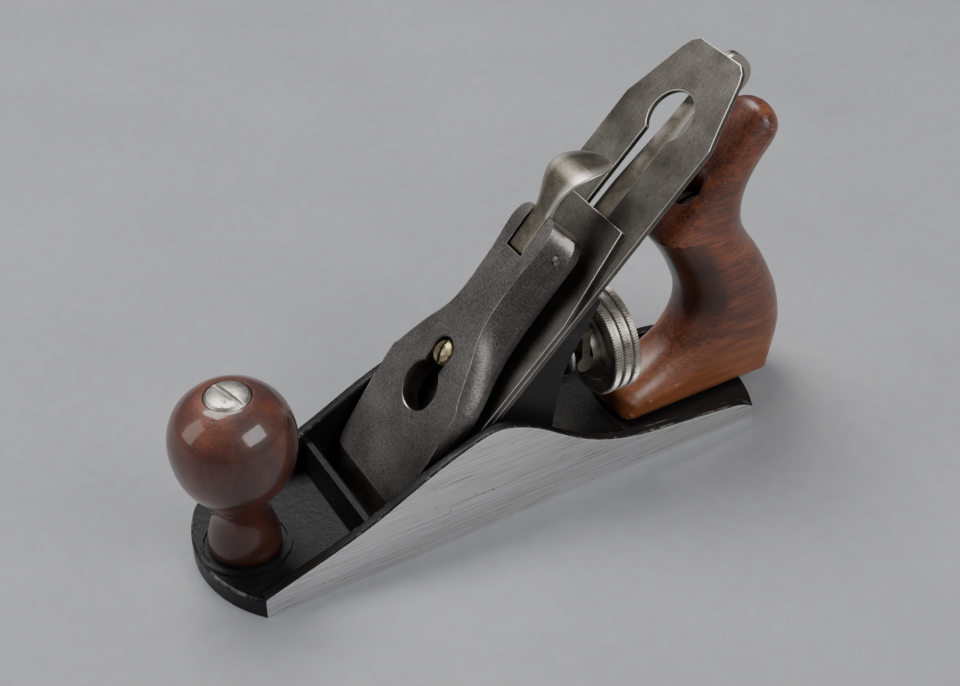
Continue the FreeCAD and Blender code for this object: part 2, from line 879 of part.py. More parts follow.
def cap_iron():
    """Curved chip breaker: its lip meets the blade just behind the edge."""
    lip = cap_iron_setback + iron_edge_lift
    thick = cap_iron_thickness
    peak = hump_height
    flat = lip + hump_length
    upper = Part.Arc(
        Vector(lip, 0, 0.3),
        Vector(lip + hump_length * 0.42, 0, peak + 1.0),
        Vector(flat, 0, thick),
    ).toShape()
    lower = Part.Arc(
        Vector(lip, 0, 0),
        Vector(lip + hump_length * 0.5, 0, peak + 1.0 - thick),
        Vector(flat, 0, 0),
    ).toShape()
    end = cap_iron_length
    corners = [(flat, thick), (end, thick), (end, 0), (flat, 0)]
    rest = Part.makePolygon([Vector(x, 0, z) for x, z in corners])
    nose = Part.makeLine(Vector(lip, 0, 0), Vector(lip, 0, 0.3))
    face = Part.Face(Part.Wire(Part.__sortEdges__([upper, lower, nose] + rest.Edges)))
    half = iron_width / 2
    strip = moved(face.extrude(Vector(0, iron_width, 0)), Placement(Vector(0, -half, 0), Rotation()))
    top = cap_iron_top_width / 2
    shoulder = cap_iron_taper_start
    plan = [(0, -half), (shoulder, -half), (end + 1, -top), (end + 1, top), (shoulder, half), (0, half)]
    strip = strip.common(plan_plate(plan, -1, 20))
    screw_hole = upright(cap_iron_screw_radius + running, cap_iron_screw_place, 0, -5, 10)
    wide = cap_screw_head_radius + free
    opening = joined(
        [
            box(keyhole_place - 4, keyhole_place + 8, -wide, wide, -5, 10),
            upright(wide, keyhole_place - 4, 0, -5, 10),
            upright(wide, keyhole_place + 8, 0, -5, 10),
        ]
    )
    window = tongue_radius + 0.1
    across = yoke_thickness / 2 + loose
    place = yoke_pivot_place
    tongue_window = box(place - window, place + window, -across, across, -5, 10)
    return on_bed(cut(strip, [screw_hole, opening, tongue_window]))


def cap_iron_screw():
    """Wide flat screw head behind the blade, threaded into the cap iron."""
    place = cap_iron_screw_place
    shank = upright(cap_iron_screw_radius, place, 0, iron_back, cap_iron_thickness + 0.4)
    head = upright(cap_iron_screw_head_radius, place, 0, iron_back - cap_iron_screw_head, iron_back)
    slot = box(place - 12, place + 12, -0.7, 0.7, iron_back - 4, iron_back - 1.3)
    return on_bed(shank.fuse(head).removeSplitter().cut(slot))


def cap_screw_shape(radius):
    return on_bed(upright(radius, keyhole_place, 0, iron_back - frog_face_thickness, cap_screw_head_seat))


def lever_cap_screw():
    """Screw through the keyhole of the lever cap: plain shank, domed slotted head."""
    radius = cap_screw_head_radius
    dome = [
        (0, 0),
        (radius - 0.3, 0),
        (radius - 0.3, 2.2),
        (radius * 0.78, 3.4),
        (radius * 0.45, 4.1),
        (0, 4.4),
    ]
    head = turned(dome, Vector(keyhole_place, 0, cap_screw_head_seat))
    slot = box(-9, 9, -0.6, 0.6, 2.6, 6)
    turn = Rotation(Vector(0, 0, 1), 20)
    slot = moved(slot, Placement(Vector(keyhole_place, 0, cap_screw_head_seat), turn))
    return cap_screw_shape(cap_screw_radius).fuse(on_bed(head)).removeSplitter().cut(on_bed(slot))


# ---- lever cap ----------------------------------------------------------------------
def cap_section(along, foot_half, foot, top_half, top):
    """Cross section of the lever cap: flat top, sloping sides, upright feet."""
    bottom = hump_height + 1.3 + (along - lever_cap_end) * 0.03
    points = [
        Vector(along, -foot_half, bottom),
        Vector(along, -foot_half, foot),
        Vector(along, -top_half, top),
        Vector(along, top_half, top),
        Vector(along, foot_half, foot),
        Vector(along, foot_half, bottom),
    ]
    return Part.makePolygon(points + points[:1])


def keyhole():
    """Pear-shaped hole with a narrow ledge under the head of the screw."""
    place = keyhole_place
    big = keyhole_place - keyhole_release
    ledge = cap_screw_head_seat - loose
    neck = keyhole_small_radius - 0.2
    shank = cap_screw_radius + free
    return joined(
        [
            upright(keyhole_large_radius, big, 0, -5, 40),
            upright(keyhole_small_radius, place, 0, ledge, 40),
            box(big, place, -neck, neck, ledge, 40),
            upright(shank, place, 0, -5, 40),
            box(big, place, -shank, shank, -5, 40),
        ]
    )


def cam_notch():
    """Slot between the two ears, hollowed so that the heel of the cam can turn."""
    half = notch_width / 2
    corner_out = lever_cap_surface(notch_start) - cam_pivot_height
    reach = math.hypot(cam_pivot_place - notch_start, corner_out)
    gap = box(notch_start, lever_cap_top + 5, -half, half, -5, 40)
    sweep = Part.makeCylinder(
        reach, notch_width, Vector(cam_pivot_place, -half, cam_pivot_height), Vector(0, 1, 0)
    )
    return gap.fuse(sweep)


def lever_cap_surface(along):
    """Height of the flat top of the lever cap over the bed, above the bevelled part."""
    return 16.0 + (along - 60.0) * 0.06


def lever_cap():
    wide = lever_cap_width / 2
    top = lever_cap_top
    sections = [
        (lever_cap_end, wide - 5.8, 6.4, wide - 6.4, 8.0),
        (lever_cap_end + 4, wide - 1.8, 6.9, wide - 2.6, 8.8),
        (lever_cap_end + 11.5, wide - 0.2, 7.3, wide - 1.1, 10.1),
        (lever_cap_end + 25.5, wide, 8.0, wide - 0.7, 12.5),
        (lever_cap_end + 39.5, wide, 8.5, wide - 1.0, 15.0),
        (lever_cap_end + 44.2, wide - 0.8, 8.5, wide - 3.9, 15.8),
        (lever_cap_end + 48.7, wide - 2.8, 8.6, wide - 5.8, 16.2),
        (lever_cap_end + 53.3, wide - 4.4, 8.8, wide - 7.8, 16.5),
        (lever_cap_end + 62.5, wide - 6.2, 9.2, wide - 12.4, lever_cap_surface(77.0)),
        (lever_cap_end + 69.5, wide - 6.8, 9.6, wide - 13.4, lever_cap_surface(84.0)),
        (lever_cap_end + 85.5, wide - 7.1, 10.2, wide - 13.5, lever_cap_surface(100.0)),
        (top - 7.5, wide - 7.2, 10.8, wide - 12.2, lever_cap_surface(112.0)),
        (top - 2.0, wide - 8.2, 11.0, wide - 12.2, lever_cap_surface(117.5)),
        (top, wide - 10.3, 11.2, wide - 13.0, lever_cap_surface(118.0) - 0.6),
    ]
    casting = Part.makeLoft([cap_section(*section) for section in sections], True, True)
    lower_pocket = side_plate([(22, 0), (22, 5.6), (38, 8.2), (38, 0)], -wide + 5, wide - 5)
    upper_pocket = side_plate([(78, 0), (78, 12.5), (notch_start, 12.5), (notch_start, 0)], -9.0, 9.0)
    pin = cross_pin(cam_pin_radius + running / 2, cam_pivot_place, cam_pivot_height, wide)
    rivet = upright(spring_rivet_radius + running, spring_rivet_place, 0, 5, spring_rivet_top + running)
    return on_bed(cut(casting, [keyhole(), lower_pocket, upper_pocket, cam_notch(), pin, rivet]))


def cam_pin():
    """Pin across the ears, flush with their sloping sides."""
    return on_bed(cross_pin(cam_pin_radius, cam_pivot_place, cam_pivot_height, lever_cap_width / 2 - 8.6))


def cap_spring():
    """Leaf spring that the cam presses against the cap iron."""
    upper = [(81.5, 12.5), (91.0, 12.5), (notch_start + 0.3, 6.1), (notch_start + 10.3, 4.3)]
    lower = [(x, z - spring_thickness) for x, z in reversed(upper)]
    leaf = side_plate(upper + lower, -4.0, 4.0)
    return on_bed(leaf.cut(upright(spring_rivet_radius + running, spring_rivet_place, 0, 5, 20)))


def spring_rivet():
    under = 12.5 - spring_thickness
    shank = upright(spring_rivet_radius, spring_rivet_place, 0, under, spring_rivet_top)
    head = upright(spring_rivet_radius + 1.2, spring_rivet_place, 0, under - 1.0, under)
    return on_bed(shank.fuse(head).removeSplitter())


def cam_lever():
    """Cam heel in the notch, a flat strip, and an arched thumb tab beyond the cap."""
    place = cam_pivot_place
    height = cam_pivot_height
    surface = lever_cap_surface(notch_start)
    upper = curve_through(
        [
            Vector(place + 8.0, 0, surface + 0.6),
            Vector(place + 12.0, 0, surface + 2.4),
            Vector(place + 17.0, 0, surface + 4.6),
            Vector(place + 22.0, 0, surface + 4.8),
            Vector(place + 27.0, 0, surface + 2.4),
            Vector(place + 32.0, 0, surface - 3.6),
            Vector(place + 34.5, 0, surface - 9.0),
        ]
    )
    lower = curve_through(
        [
            Vector(place + 33.2, 0, surface - 9.4),
            Vector(place + 30.4, 0, surface - 4.2),
            Vector(place + 26.0, 0, surface + 0.8),
            Vector(place + 21.5, 0, surface + 2.6),
            Vector(place + 17.0, 0, surface + 2.2),
            Vector(place + 12.0, 0, surface - 0.6),
            Vector(place + 7.4, 0, surface - 4.0),
        ]
    )
    heel_start = notch_start + 0.3
    heel = [
        Vector(place + 7.4, 0, surface - 4.0),
        Vector(place + 5.0, 0, height - 5.0),
        Vector(place + 2.4, 0, height - 7.1),
        Vector(place, 0, height - 7.5),
        Vector(place - 3.0, 0, height - 6.4),
        Vector(place - 5.2, 0, height - 3.4),
        Vector(heel_start, 0, height),
        Vector(heel_start, 0, surface - 0.4),
        Vector(place + 8.0, 0, surface + 0.6),
    ]
    tip = Part.makeLine(Vector(place + 34.5, 0, surface - 9.0), Vector(place + 33.2, 0, surface - 9.4))
    edges = [upper, tip, lower] + Part.makePolygon(heel).Edges
    face = Part.Face(Part.Wire(Part.__sortEdges__(edges)))
    half = thumb_tab_width / 2
    block = moved(face.extrude(Vector(0, thumb_tab_width, 0)), Placement(Vector(0, -half, 0), Rotation()))
    narrow = cam_strip_width / 2
    right = [
        (place - 12, narrow),
        (lever_cap_top + 1.0, narrow),
        (lever_cap_top + 4.5, half - 1.6),
        (lever_cap_top + 8.5, half - 0.2),
        (lever_cap_top + 12.5, half),
        (lever_cap_top + 18.5, half),
        (lever_cap_top + 22.0, half - 1.2),
        (lever_cap_top + 24.2, half - 3.6),
        (lever_cap_top + 26.0, half - 5.5),
    ]
    left = [(x, -y) for x, y in reversed(right)]
    lever = block.common(plan_plate(right + left, -5, 40))
    return on_bed(lever.cut(cross_pin(cam_pin_radius + running, place, height, 12)))


def export_all():
    nodes = {
        "body_casting": body_casting(),
        "front_knob": knob(),
        "knob_stud": knob_stud(),
        "knob_nut": knob_nut(),
        "tote": tote(),
        "tote_stud": tote_stud(),
        "tote_nut": tote_nut(),
        "frog": frog(),
        "frog_screws": Part.makeCompound(both_sides(frog_screw)),
        "frog_washers": Part.makeCompound(both_sides(frog_washer)),
        "adjuster_stud": adjuster_stud(),
        "adjuster_hub": adjuster_hub(),
        "adjuster_wheel": adjuster_wheel(),
        "yoke": yoke(),
        "yoke_pin": yoke_pin(),
        "lateral_lever": lateral_lever(),
        "lateral_disc": lateral_disc(),
        "lateral_rivet": lateral_rivet(),
        "cutter_iron": cutter_iron(),
        "cap_iron": cap_iron(),
        "cap_iron_screw": cap_iron_screw(),
        "lever_cap_screw": lever_cap_screw(),
        "lever_cap": lever_cap(),
        "cam_pin": cam_pin(),
        "cap_spring": cap_spring(),
        "spring_rivet": spring_rivet(),
        "cam_lever": cam_lever(),
    }
    os.makedirs("parts", exist_ok=True)
    for name, shape in nodes.items():
        shape.exportStep("parts/" + name + ".step")
        box_size = shape.BoundBox
        print(name, shape.isValid(), len(shape.Solids), round(shape.Volume, 1), box_size)


export_all()
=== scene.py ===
import math

import bmesh
import bpy
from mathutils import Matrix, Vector
from mathutils.geometry import delaunay_2d_cdt, intersect_point_line
from mathutils.kdtree import KDTree


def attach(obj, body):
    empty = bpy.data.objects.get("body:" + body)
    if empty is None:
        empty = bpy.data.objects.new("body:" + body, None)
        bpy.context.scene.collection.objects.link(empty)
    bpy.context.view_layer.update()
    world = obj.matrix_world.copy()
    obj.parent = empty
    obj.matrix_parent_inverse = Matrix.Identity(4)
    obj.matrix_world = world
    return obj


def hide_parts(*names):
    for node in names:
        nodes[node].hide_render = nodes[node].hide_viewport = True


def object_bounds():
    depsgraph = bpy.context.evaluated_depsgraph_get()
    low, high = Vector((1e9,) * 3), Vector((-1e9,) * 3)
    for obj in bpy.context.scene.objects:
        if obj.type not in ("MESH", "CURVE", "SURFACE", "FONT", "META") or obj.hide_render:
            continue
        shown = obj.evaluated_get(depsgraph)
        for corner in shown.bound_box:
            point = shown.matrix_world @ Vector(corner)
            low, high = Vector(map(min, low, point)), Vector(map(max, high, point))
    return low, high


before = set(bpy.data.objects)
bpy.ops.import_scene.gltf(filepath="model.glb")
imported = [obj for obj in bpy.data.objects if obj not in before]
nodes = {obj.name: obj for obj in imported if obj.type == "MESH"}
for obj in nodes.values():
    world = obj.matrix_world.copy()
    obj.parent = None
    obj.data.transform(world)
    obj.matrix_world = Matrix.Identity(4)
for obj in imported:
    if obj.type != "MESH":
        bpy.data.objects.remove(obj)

cad_box = [list(corner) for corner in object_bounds()]
MM = 0.001


# ---- bench, light and viewpoint -----------------------------------------------------
# A pale matt bench top that runs on past the edge of the view, a large soft light high behind
# the plane, a weak one on the left, and one in front that lights the near side.
class Flow:
    """A changing value of a finish; arithmetic on it adds its own Math nodes."""

    def __init__(self, finish, socket):
        self.finish = finish
        self.socket = socket

    def _maths(self, operation, first, second):
        return self.finish.add("ShaderNodeMath", {"operation": operation}, {0: first, 1: second})

    def __add__(self, other):
        return self._maths("ADD", self, other)

    __radd__ = __add__

    def __sub__(self, other):
        return self._maths("SUBTRACT", self, other)

    def __rsub__(self, other):
        return self._maths("SUBTRACT", other, self)

    def __mul__(self, other):
        return self._maths("MULTIPLY", self, other)

    __rmul__ = __mul__

    def __gt__(self, other):
        return self._maths("GREATER_THAN", self, other)

    def __lt__(self, other):
        return self._maths("LESS_THAN", self, other)

    def __abs__(self):
        return self._maths("ABSOLUTE", self, 0.0)

    def either(self, other):
        return self._maths("MAXIMUM", self, other)

    def fade(self, low, high):
        """Rise smoothly from 0 at low to 1 at high (or fall, when low is the greater)."""
        sockets = {"Value": self, "From Min": low, "From Max": high}
        return self.finish.add("ShaderNodeMapRange", {"interpolation_type": "SMOOTHSTEP"}, sockets)


class Finish:
    """One surface finish: a Principled shader and the nodes that feed it."""

    def __init__(self, name, turn=0.0, **constants):
        self.material = bpy.data.materials.new(name)
        self.material.use_nodes = True
        self.tree = self.material.node_tree
        self.shader = self.tree.nodes["Principled BSDF"]
        for socket, value in constants.items():
            self.shader.inputs[socket.replace("_", " ")].default_value = value
        place = self.add("ShaderNodeTexCoord", {}, {}, "Object")
        self.place = self.add("ShaderNodeMapping", {}, {"Vector": place, "Rotation": (0, turn, 0)})

    def add(self, kind, settings, sockets, output=0):
        node = self.tree.nodes.new(kind)
        for name, value in settings.items():
            if name == "stops":
                for index, (where, colour) in enumerate(value):
                    if index > 1:
                        node.color_ramp.elements.new(where)
                    node.color_ramp.elements[index].position = where
                    node.color_ramp.elements[index].color = (*colour, 1)
            else:
                setattr(node, name, value)
        for name, value in sockets.items():
            if isinstance(value, Flow):
                self.tree.links.new(value.socket, node.inputs[name])
            else:
                node.inputs[name].default_value = value
        return Flow(self, node.outputs[output])

    def along(self, axis):
        """Distance along X, Y or Z of the piece, in metres."""
        return self.add("ShaderNodeSeparateXYZ", {}, {"Vector": self.place}, axis)

    def cloud(self, size_mm, stretch=(1, 1, 1), detail=4.0, rough=0.55):
        """Soft noise whose lumps are about size_mm across, stretched along chosen axes."""
        scaled = self.add(
            "ShaderNodeVectorMath",
            {"operation": "MULTIPLY"},
            {0: self.place, 1: tuple(1 / s for s in stretch)},
        )
        sockets = {"Vector": scaled, "Scale": 1 / (size_mm * MM), "Detail": detail, "Roughness": rough}
        return self.add("ShaderNodeTexNoise", {}, sockets, "Fac")

    def cells(self, size_mm):
        """Distance from scattered points about size_mm apart."""
        sockets = {"Vector": self.place, "Scale": 1 / (size_mm * MM)}
        return self.add("ShaderNodeTexVoronoi", {}, sockets, "Distance")

    def wear_and_painted_light_share(self):
        """How strongly the mesh marks a place, from 0 to 1: worn edges that also carry a painted highlight,
        and the tote's handled cove that also carries painted shade.
        """
        return self.add("ShaderNodeAttribute", {"attribute_name": "wear_and_painted_light"}, {}, "Fac")

    def mix(self, share, first, second):
        """Blend two colours."""
        first, second = [c if isinstance(c, Flow) else (*c, 1) for c in (first, second)]
        settings = {"data_type": "RGBA", "clamp_factor": True}
        return self.add("ShaderNodeMix", settings, {0: share, 6: first, 7: second}, 2)

    def colours(self, value, *stops):
        """Run a value through a row of colours."""
        return self.add("ShaderNodeValToRGB", {"stops": stops}, {"Fac": value}, "Color")

    def relief(self, height, depth_mm, strength=1.0):
        sockets = {"Height": height, "Distance": depth_mm * MM, "Strength": strength}
        return self.add("ShaderNodeBump", {}, sockets, "Normal")

    def feed(self, **flows):
        for socket, flow in flows.items():
            self.tree.links.new(flow.socket, self.shader.inputs[socket.replace("_", " ")])


def put_on(finish, *names):
    """Give CAD pieces a finish."""
    for name in names:
        mesh = nodes[name].data
        mesh.materials.clear()
        mesh.materials.append(finish.material)


bench = Finish("bench_top", Roughness=0.62, Specular_IOR_Level=0.35)
mottle = bench.cloud(90, detail=2.0) * 0.6 + bench.cloud(6, detail=3.0) * 0.4
bench.feed(Base_Color=bench.colours(mottle, (0.3, (0.30, 0.30, 0.31)), (0.7, (0.37, 0.37, 0.38))))

bench_half = 6.0
bench_mesh = bpy.data.meshes.new("bench_top")
corners = [(x * bench_half, y * bench_half, 0) for x, y in ((-1, -1), (1, -1), (1, 1), (-1, 1))]
bench_mesh.from_pydata(corners, [], [(0, 1, 2, 3)])
bench_mesh.materials.append(bench.material)
bench_top = bpy.data.objects.new("bench_top", bench_mesh)
bpy.context.scene.collection.objects.link(bench_top)


def soft_light(name, place, aim, size, watts):
    """Square soft light that faces a point."""
    data = bpy.data.lights.new(name, "AREA")
    data.shape = "RECTANGLE"
    data.size = size[0]
    data.size_y = size[1]
    data.energy = watts
    light = bpy.data.objects.new(name, data)
    light.location = place
    light.rotation_euler = (Vector(aim) - Vector(place)).to_track_quat("-Z", "Y").to_euler()
    bpy.context.scene.collection.objects.link(light)


soft_light("light_over", (-0.10, 0.55, 1.25), (0, 0, 0.04), (0.8, 0.6), 17)
soft_light("light_left", (-1.0, 0.35, 0.60), (0, 0, 0.04), (0.5, 0.8), 3)
soft_light("light_near", (0.45, -0.95, 0.85), (0.02, -0.1, 0.0), (0.9, 0.6), 11)

world = bpy.data.worlds.new("room")
world.use_nodes = True
world.node_tree.nodes["Background"].inputs["Color"].default_value = (0.72, 0.74, 0.78, 1)
world.node_tree.nodes["Background"].inputs["Strength"].default_value = 0.24
bpy.context.scene.world = world

eye = Vector((-0.2241, -0.3608, 0.3860))
sight = Vector((0.0, 0.02072, 0.035)) - eye
camera_data = bpy.data.cameras.new("camera")
camera_data.lens = 61.66
camera_data.sensor_width = 36.0
camera_data.clip_start = 0.01
camera = bpy.data.objects.new("camera", camera_data)
camera.location = eye
camera.rotation_euler = sight.to_track_quat("-Z", "Y").to_euler()
bpy.context.scene.collection.objects.link(camera)
bpy.context.scene.camera = camera


# ---- body casting -------------------------------------------------------------------
# One grey-iron casting.  Sole and outer sides are ground bright with the stone run from toe
# to heel; everything else keeps its rough cast skin under baked black varnish.
half_width = cad_box[1][1]
body = Finish("body_iron", Coat_Roughness=0.2, Coat_IOR=1.4, Specular_IOR_Level=0.22)
side_face = abs(body.along("Y")) > half_width - 0.12 * MM
sole_face = body.along("Z") < 0.12 * MM
ground = side_face.either(sole_face)

grind_lines = body.cloud(0.28, stretch=(120, 1, 1), detail=3.0, rough=0.75)
grind_wide = body.cloud(1.1, stretch=(60, 1, 1), detail=2.0)
cloudy = body.cloud(14, detail=5.0)
bright = body.colours(
    grind_lines * 0.7 + grind_wide * 0.3,
    (0.30, (0.34, 0.33, 0.325)),
    (0.44, (0.66, 0.655, 0.65)),
    (0.60, (0.86, 0.86, 0.86)),
)
gouges = body.cloud(0.32, stretch=(70, 1, 1), detail=1.0).fade(0.33, 0.27)
stain = body.cloud(9, detail=6.0, rough=0.7).fade(0.60, 0.78)
pits = body.cells(3.1).fade(0.15, 0.04) * body.cloud(13).fade(0.50, 0.60)
bright = body.mix(gouges * 0.75, bright, (0.10, 0.095, 0.09))
bright = body.mix(stain * 0.45, bright, (0.30, 0.27, 0.25))
bright = body.mix(pits, bright, (0.025, 0.02, 0.018))

cast_skin = body.cloud(1.3, detail=6.0, rough=0.65)
flecks = body.cells(1.9).fade(0.10, 0.03) * body.cloud(9, detail=5.0).fade(0.52, 0.60)
rust = body.cloud(6, detail=7.0, rough=0.75).fade(0.60, 0.74)
varnish = body.mix(cloudy.fade(0.45, 0.75), (0.006, 0.006, 0.007), (0.014, 0.011, 0.009))
varnish = body.mix(rust * 0.6, varnish, (0.045, 0.028, 0.016))
varnish = body.mix(flecks * 0.9, varnish, (0.42, 0.38, 0.33))
# Varnish worn off the eased edges, partly a painted highlight line along the cheek tops.
edge_wear_and_highlight = body.wear_and_painted_light_share() * body.cloud(7, detail=5.0).fade(0.44, 0.60)
varnish = body.mix(edge_wear_and_highlight * 0.8, varnish, (0.22, 0.185, 0.15))
skin = cast_skin * 1.1 + cloudy * 0.5 + body.cloud(3.2, detail=3.0) * 1.2
stone_marks = grind_lines * 0.06 - gouges * 0.12 - pits * 0.5
body.feed(
    Base_Color=body.mix(ground, varnish, bright),
    Metallic=ground * (1 - pits),
    Roughness=ground * (0.40 + stain * 0.2) + (1 - ground) * (0.42 + rust * 0.3),
    Coat_Weight=(1 - ground) * (0.22 - rust * 0.2),
    Normal=body.relief(ground * stone_marks + (1 - ground) * skin, 0.22, 0.6),
)


def add_piece(name, mesh, rides_on, finish):
    """Hang a finished mesh on a body in place of the CAD piece of the same name."""
    mesh.materials.clear()
    mesh.materials.append(finish.material)
    piece = bpy.data.objects.new(name + "_shape", mesh)
    bpy.context.scene.collection.objects.link(piece)
    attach(piece, rides_on)
    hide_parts(name)


def shade(shape, sharp_degrees):
    """Smooth shading except across sharp edges and round the border of broad flats."""
    for face in shape.faces:
        face.smooth = True
    limit = math.radians(sharp_degrees)
    flat_limit = math.radians(3)
    broad = 12 * MM * MM
    for edge in shape.edges:
        turn = edge.calc_face_angle(0.0)
        flat = max((face.calc_area() for face in edge.link_faces), default=0) > broad
        edge.smooth = turn < (flat_limit if flat else limit)


def applied(mesh, **settings):
    """Run one modifier over a mesh and return the result."""
    holder = bpy.data.objects.new("holder", mesh)
    bpy.context.scene.collection.objects.link(holder)
    modifier = holder.modifiers.new("change", settings.pop("kind"))
    for name, value in settings.items():
        setattr(modifier, name, value)
    graph = bpy.context.evaluated_depsgraph_get()
    result = bpy.data.meshes.new_from_object(holder.evaluated_get(graph))
    bpy.data.objects.remove(holder)
    return result


def eased(name, rides_on, finish, width_mm, reshape=None):
    """Copy of a CAD piece whose sharp edges are rubbed down so that they catch the light."""
    shape = bmesh.new()
    shape.from_mesh(nodes[name].data)
    if reshape:
        for vertex in shape.verts:
            vertex.co = reshape(*vertex.co)
    bmesh.ops.remove_doubles(shape, verts=shape.verts, dist=0.002 * MM)
    all_of_it = {"verts": shape.verts, "edges": shape.edges}
    bmesh.ops.dissolve_limit(
        shape, angle_limit=math.radians(0.6), use_dissolve_boundaries=False, **all_of_it
    )
    mesh = bpy.data.meshes.new(name)
    shape.to_mesh(mesh)
    shape.free()
    mesh = applied(
        mesh, kind="BEVEL", width=width_mm * MM, segments=2, limit_method="ANGLE",
        angle_limit=math.radians(28), use_clamp_overlap=True, harden_normals=False,
    )
    shape = bmesh.new()
    shape.from_mesh(mesh)
    shade(shape, 32)
    # Narrow bevel faces are marked as rubbed bright edges that also carry a painted highlight.
    worn = shape.faces.layers.float.new("wear_and_painted_light")
    for face in shape.faces:
        sides = sorted(edge.calc_length() for edge in face.edges)
        narrow = len(sides) == 4 and sides[0] < width_mm * MM and sides[2] > 3 * sides[0]
        face[worn] = 1.0 if narrow else 0.0
    shape.to_mesh(mesh)
    shape.free()
    add_piece(name, mesh, rides_on, finish)


eased("body_casting", "plane_body", body, 0.22)


# ---- frog ---------------------------------------------------------------------------
# The sloping casting that carries the cutter, black like the inside of the body, with a
# machined face that the blade lies on.
frog_skin = Finish("frog_iron", Coat_Weight=0.15, Coat_Roughness=0.25, Specular_IOR_Level=0.25)
grain = frog_skin.cloud(1.1, detail=6.0, rough=0.65)
worn = frog_skin.cloud(12, detail=5.0).fade(0.55, 0.75)
frog_skin.feed(
    Base_Color=frog_skin.mix(worn, (0.009, 0.009, 0.009), (0.028, 0.025, 0.022)),
    Roughness=0.3 + grain * 0.3,
    Normal=frog_skin.relief(grain, 0.2, 0.5),
)
eased("frog", "frog", frog_skin, 0.22)


# ---- front knob ---------------------------------------------------------------------
# Turned from one piece of dark hardwood and varnished; a steel rod runs up its middle to a
# domed slotted nut let into the top.
knob_wood = Finish("knob_wood", Coat_Weight=0.8, Coat_Roughness=0.12)
figure = knob_wood.cloud(19, stretch=(1, 1, 2.2), detail=6.0, rough=0.65)
pores = knob_wood.cloud(0.45, stretch=(1, 1, 12), detail=3.0, rough=0.7)
blotch = knob_wood.cloud(5, detail=6.0, rough=0.75)
knob_colour = knob_wood.colours(
    figure * 0.7 + pores * 0.2 + blotch * 0.1,
    (0.36, (0.016, 0.004, 0.002)),
    (0.46, (0.048, 0.010, 0.005)),
    (0.56, (0.100, 0.022, 0.008)),
    (0.70, (0.200, 0.050, 0.014)),
)
dark_spots = knob_wood.cells(4.2).fade(0.13, 0.04) * knob_wood.cloud(15).fade(0.46, 0.58)
# Painted shade: darker towards the bottom, below the bulb; the blotches add real grime on top.
shade_low_down = knob_wood.along("Z").fade(36 * MM, 16 * MM)
grime_and_low_shade = (shade_low_down * 0.6 + blotch.fade(0.56, 0.72) * 0.5) * (0.4 + blotch)
knob_colour = knob_wood.mix(grime_and_low_shade, knob_colour, (0.020, 0.005, 0.003))
knob_colour = knob_wood.mix(dark_spots, knob_colour, (0.006, 0.003, 0.002))
nicks = knob_wood.cells(2.3).fade(0.12, 0.03) * knob_wood.cloud(8).fade(0.50, 0.58)
knob_wood.feed(
    Base_Color=knob_colour,
    Roughness=0.36 + blotch * 0.25,
    Normal=knob_wood.relief(blotch * 1.5 + pores * 0.3 - dark_spots * 0.8 - nicks * 0.9, 0.34, 0.6),
)


class Sheet:
    """Growing list of points and faces of one closed surface, in mm."""

    def __init__(self):
        self.points = []
        self.wear_and_painted_light = []
        self.faces = []

    def row(self, points, wear_and_painted_light=0.0):
        start = len(self.points)
        self.points += [Vector(point) for point in points]
        self.wear_and_painted_light += [wear_and_painted_light] * len(points)
        return list(range(start, len(self.points)))

    def band(self, first, second):
        """Join two closed rows of the same length."""
        for here in range(len(first)):
            there = (here + 1) % len(first)
            self.faces.append((first[here], first[there], second[there], second[here]))

    def patch(self, rows, flat, lift, spacing, extra=()):
        """Fill the area between an outer row and the rows inside it, with points of its own."""
        loops = [[Vector(flat(self.points[index])) for index in row] for row in rows]
        border = KDTree(sum(len(loop) for loop in loops))
        for index, point in enumerate(point for loop in loops for point in loop):
            border.insert((*point, 0), index)
        border.balance()
        given = [point for loop in loops for point in loop]
        edges = []
        for loop in loops:
            start = len(edges)
            edges += [(start + index, start + (index + 1) % len(loop)) for index in range(len(loop))]
        across = [point.x for point in given]
        down = [point.y for point in given]
        inner = [Vector(point) for point in extra]
        step = 0
        level = min(down) + spacing / 2
        while level < max(down):
            place = min(across) + spacing * (0.25 if step % 2 else 0.75)
            while place < max(across):
                near = border.find((place, level, 0))[2]
                if near > spacing * 0.7 and within((place, level), loops):
                    inner.append(Vector((place, level)))
                place += spacing
            level += spacing * 0.87
            step += 1
        net = delaunay_2d_cdt(given + inner, edges, [], 0, 1e-6)
        on_rows = sum(rows, [])
        index_of = [on_rows[origin[0]] if origin and origin[0] < len(given) else None for origin in net[3]]
        for index, point in enumerate(net[0]):
            if index_of[index] is None:
                index_of[index] = self.row([lift(*point)])[0]
        for face in net[2]:
            middle = sum((net[0][index] for index in face), Vector((0, 0))) / len(face)
            if within(middle, loops):
                self.faces.append(tuple(index_of[index] for index in face))

    def mesh(self, name, sharp_degrees):
        mesh = bpy.data.meshes.new(name)
        mesh.from_pydata([point * MM for point in self.points], [], self.faces)
        wear_and_painted_light = mesh.attributes.new("wear_and_painted_light", "FLOAT", "POINT")
        wear_and_painted_light.data.foreach_set("value", self.wear_and_painted_light)
        shape = bmesh.new()
        shape.from_mesh(mesh)
        bmesh.ops.recalc_face_normals(shape, faces=shape.faces)
        shade(shape, sharp_degrees)
        shape.to_mesh(mesh)
        shape.free()
        return mesh


def within(point, loops):
    """Tell whether a flat point lies inside the outer loop and outside the others."""
    x, y = point
    inside = False
    for loop in loops:
        for here, there in zip(loop, loop[1:] + loop[:1]):
            if (here[1] > y) != (there[1] > y):
                if x < here[0] + (y - here[1]) * (there[0] - here[0]) / (there[1] - here[1]):
                    inside = not inside
    return inside


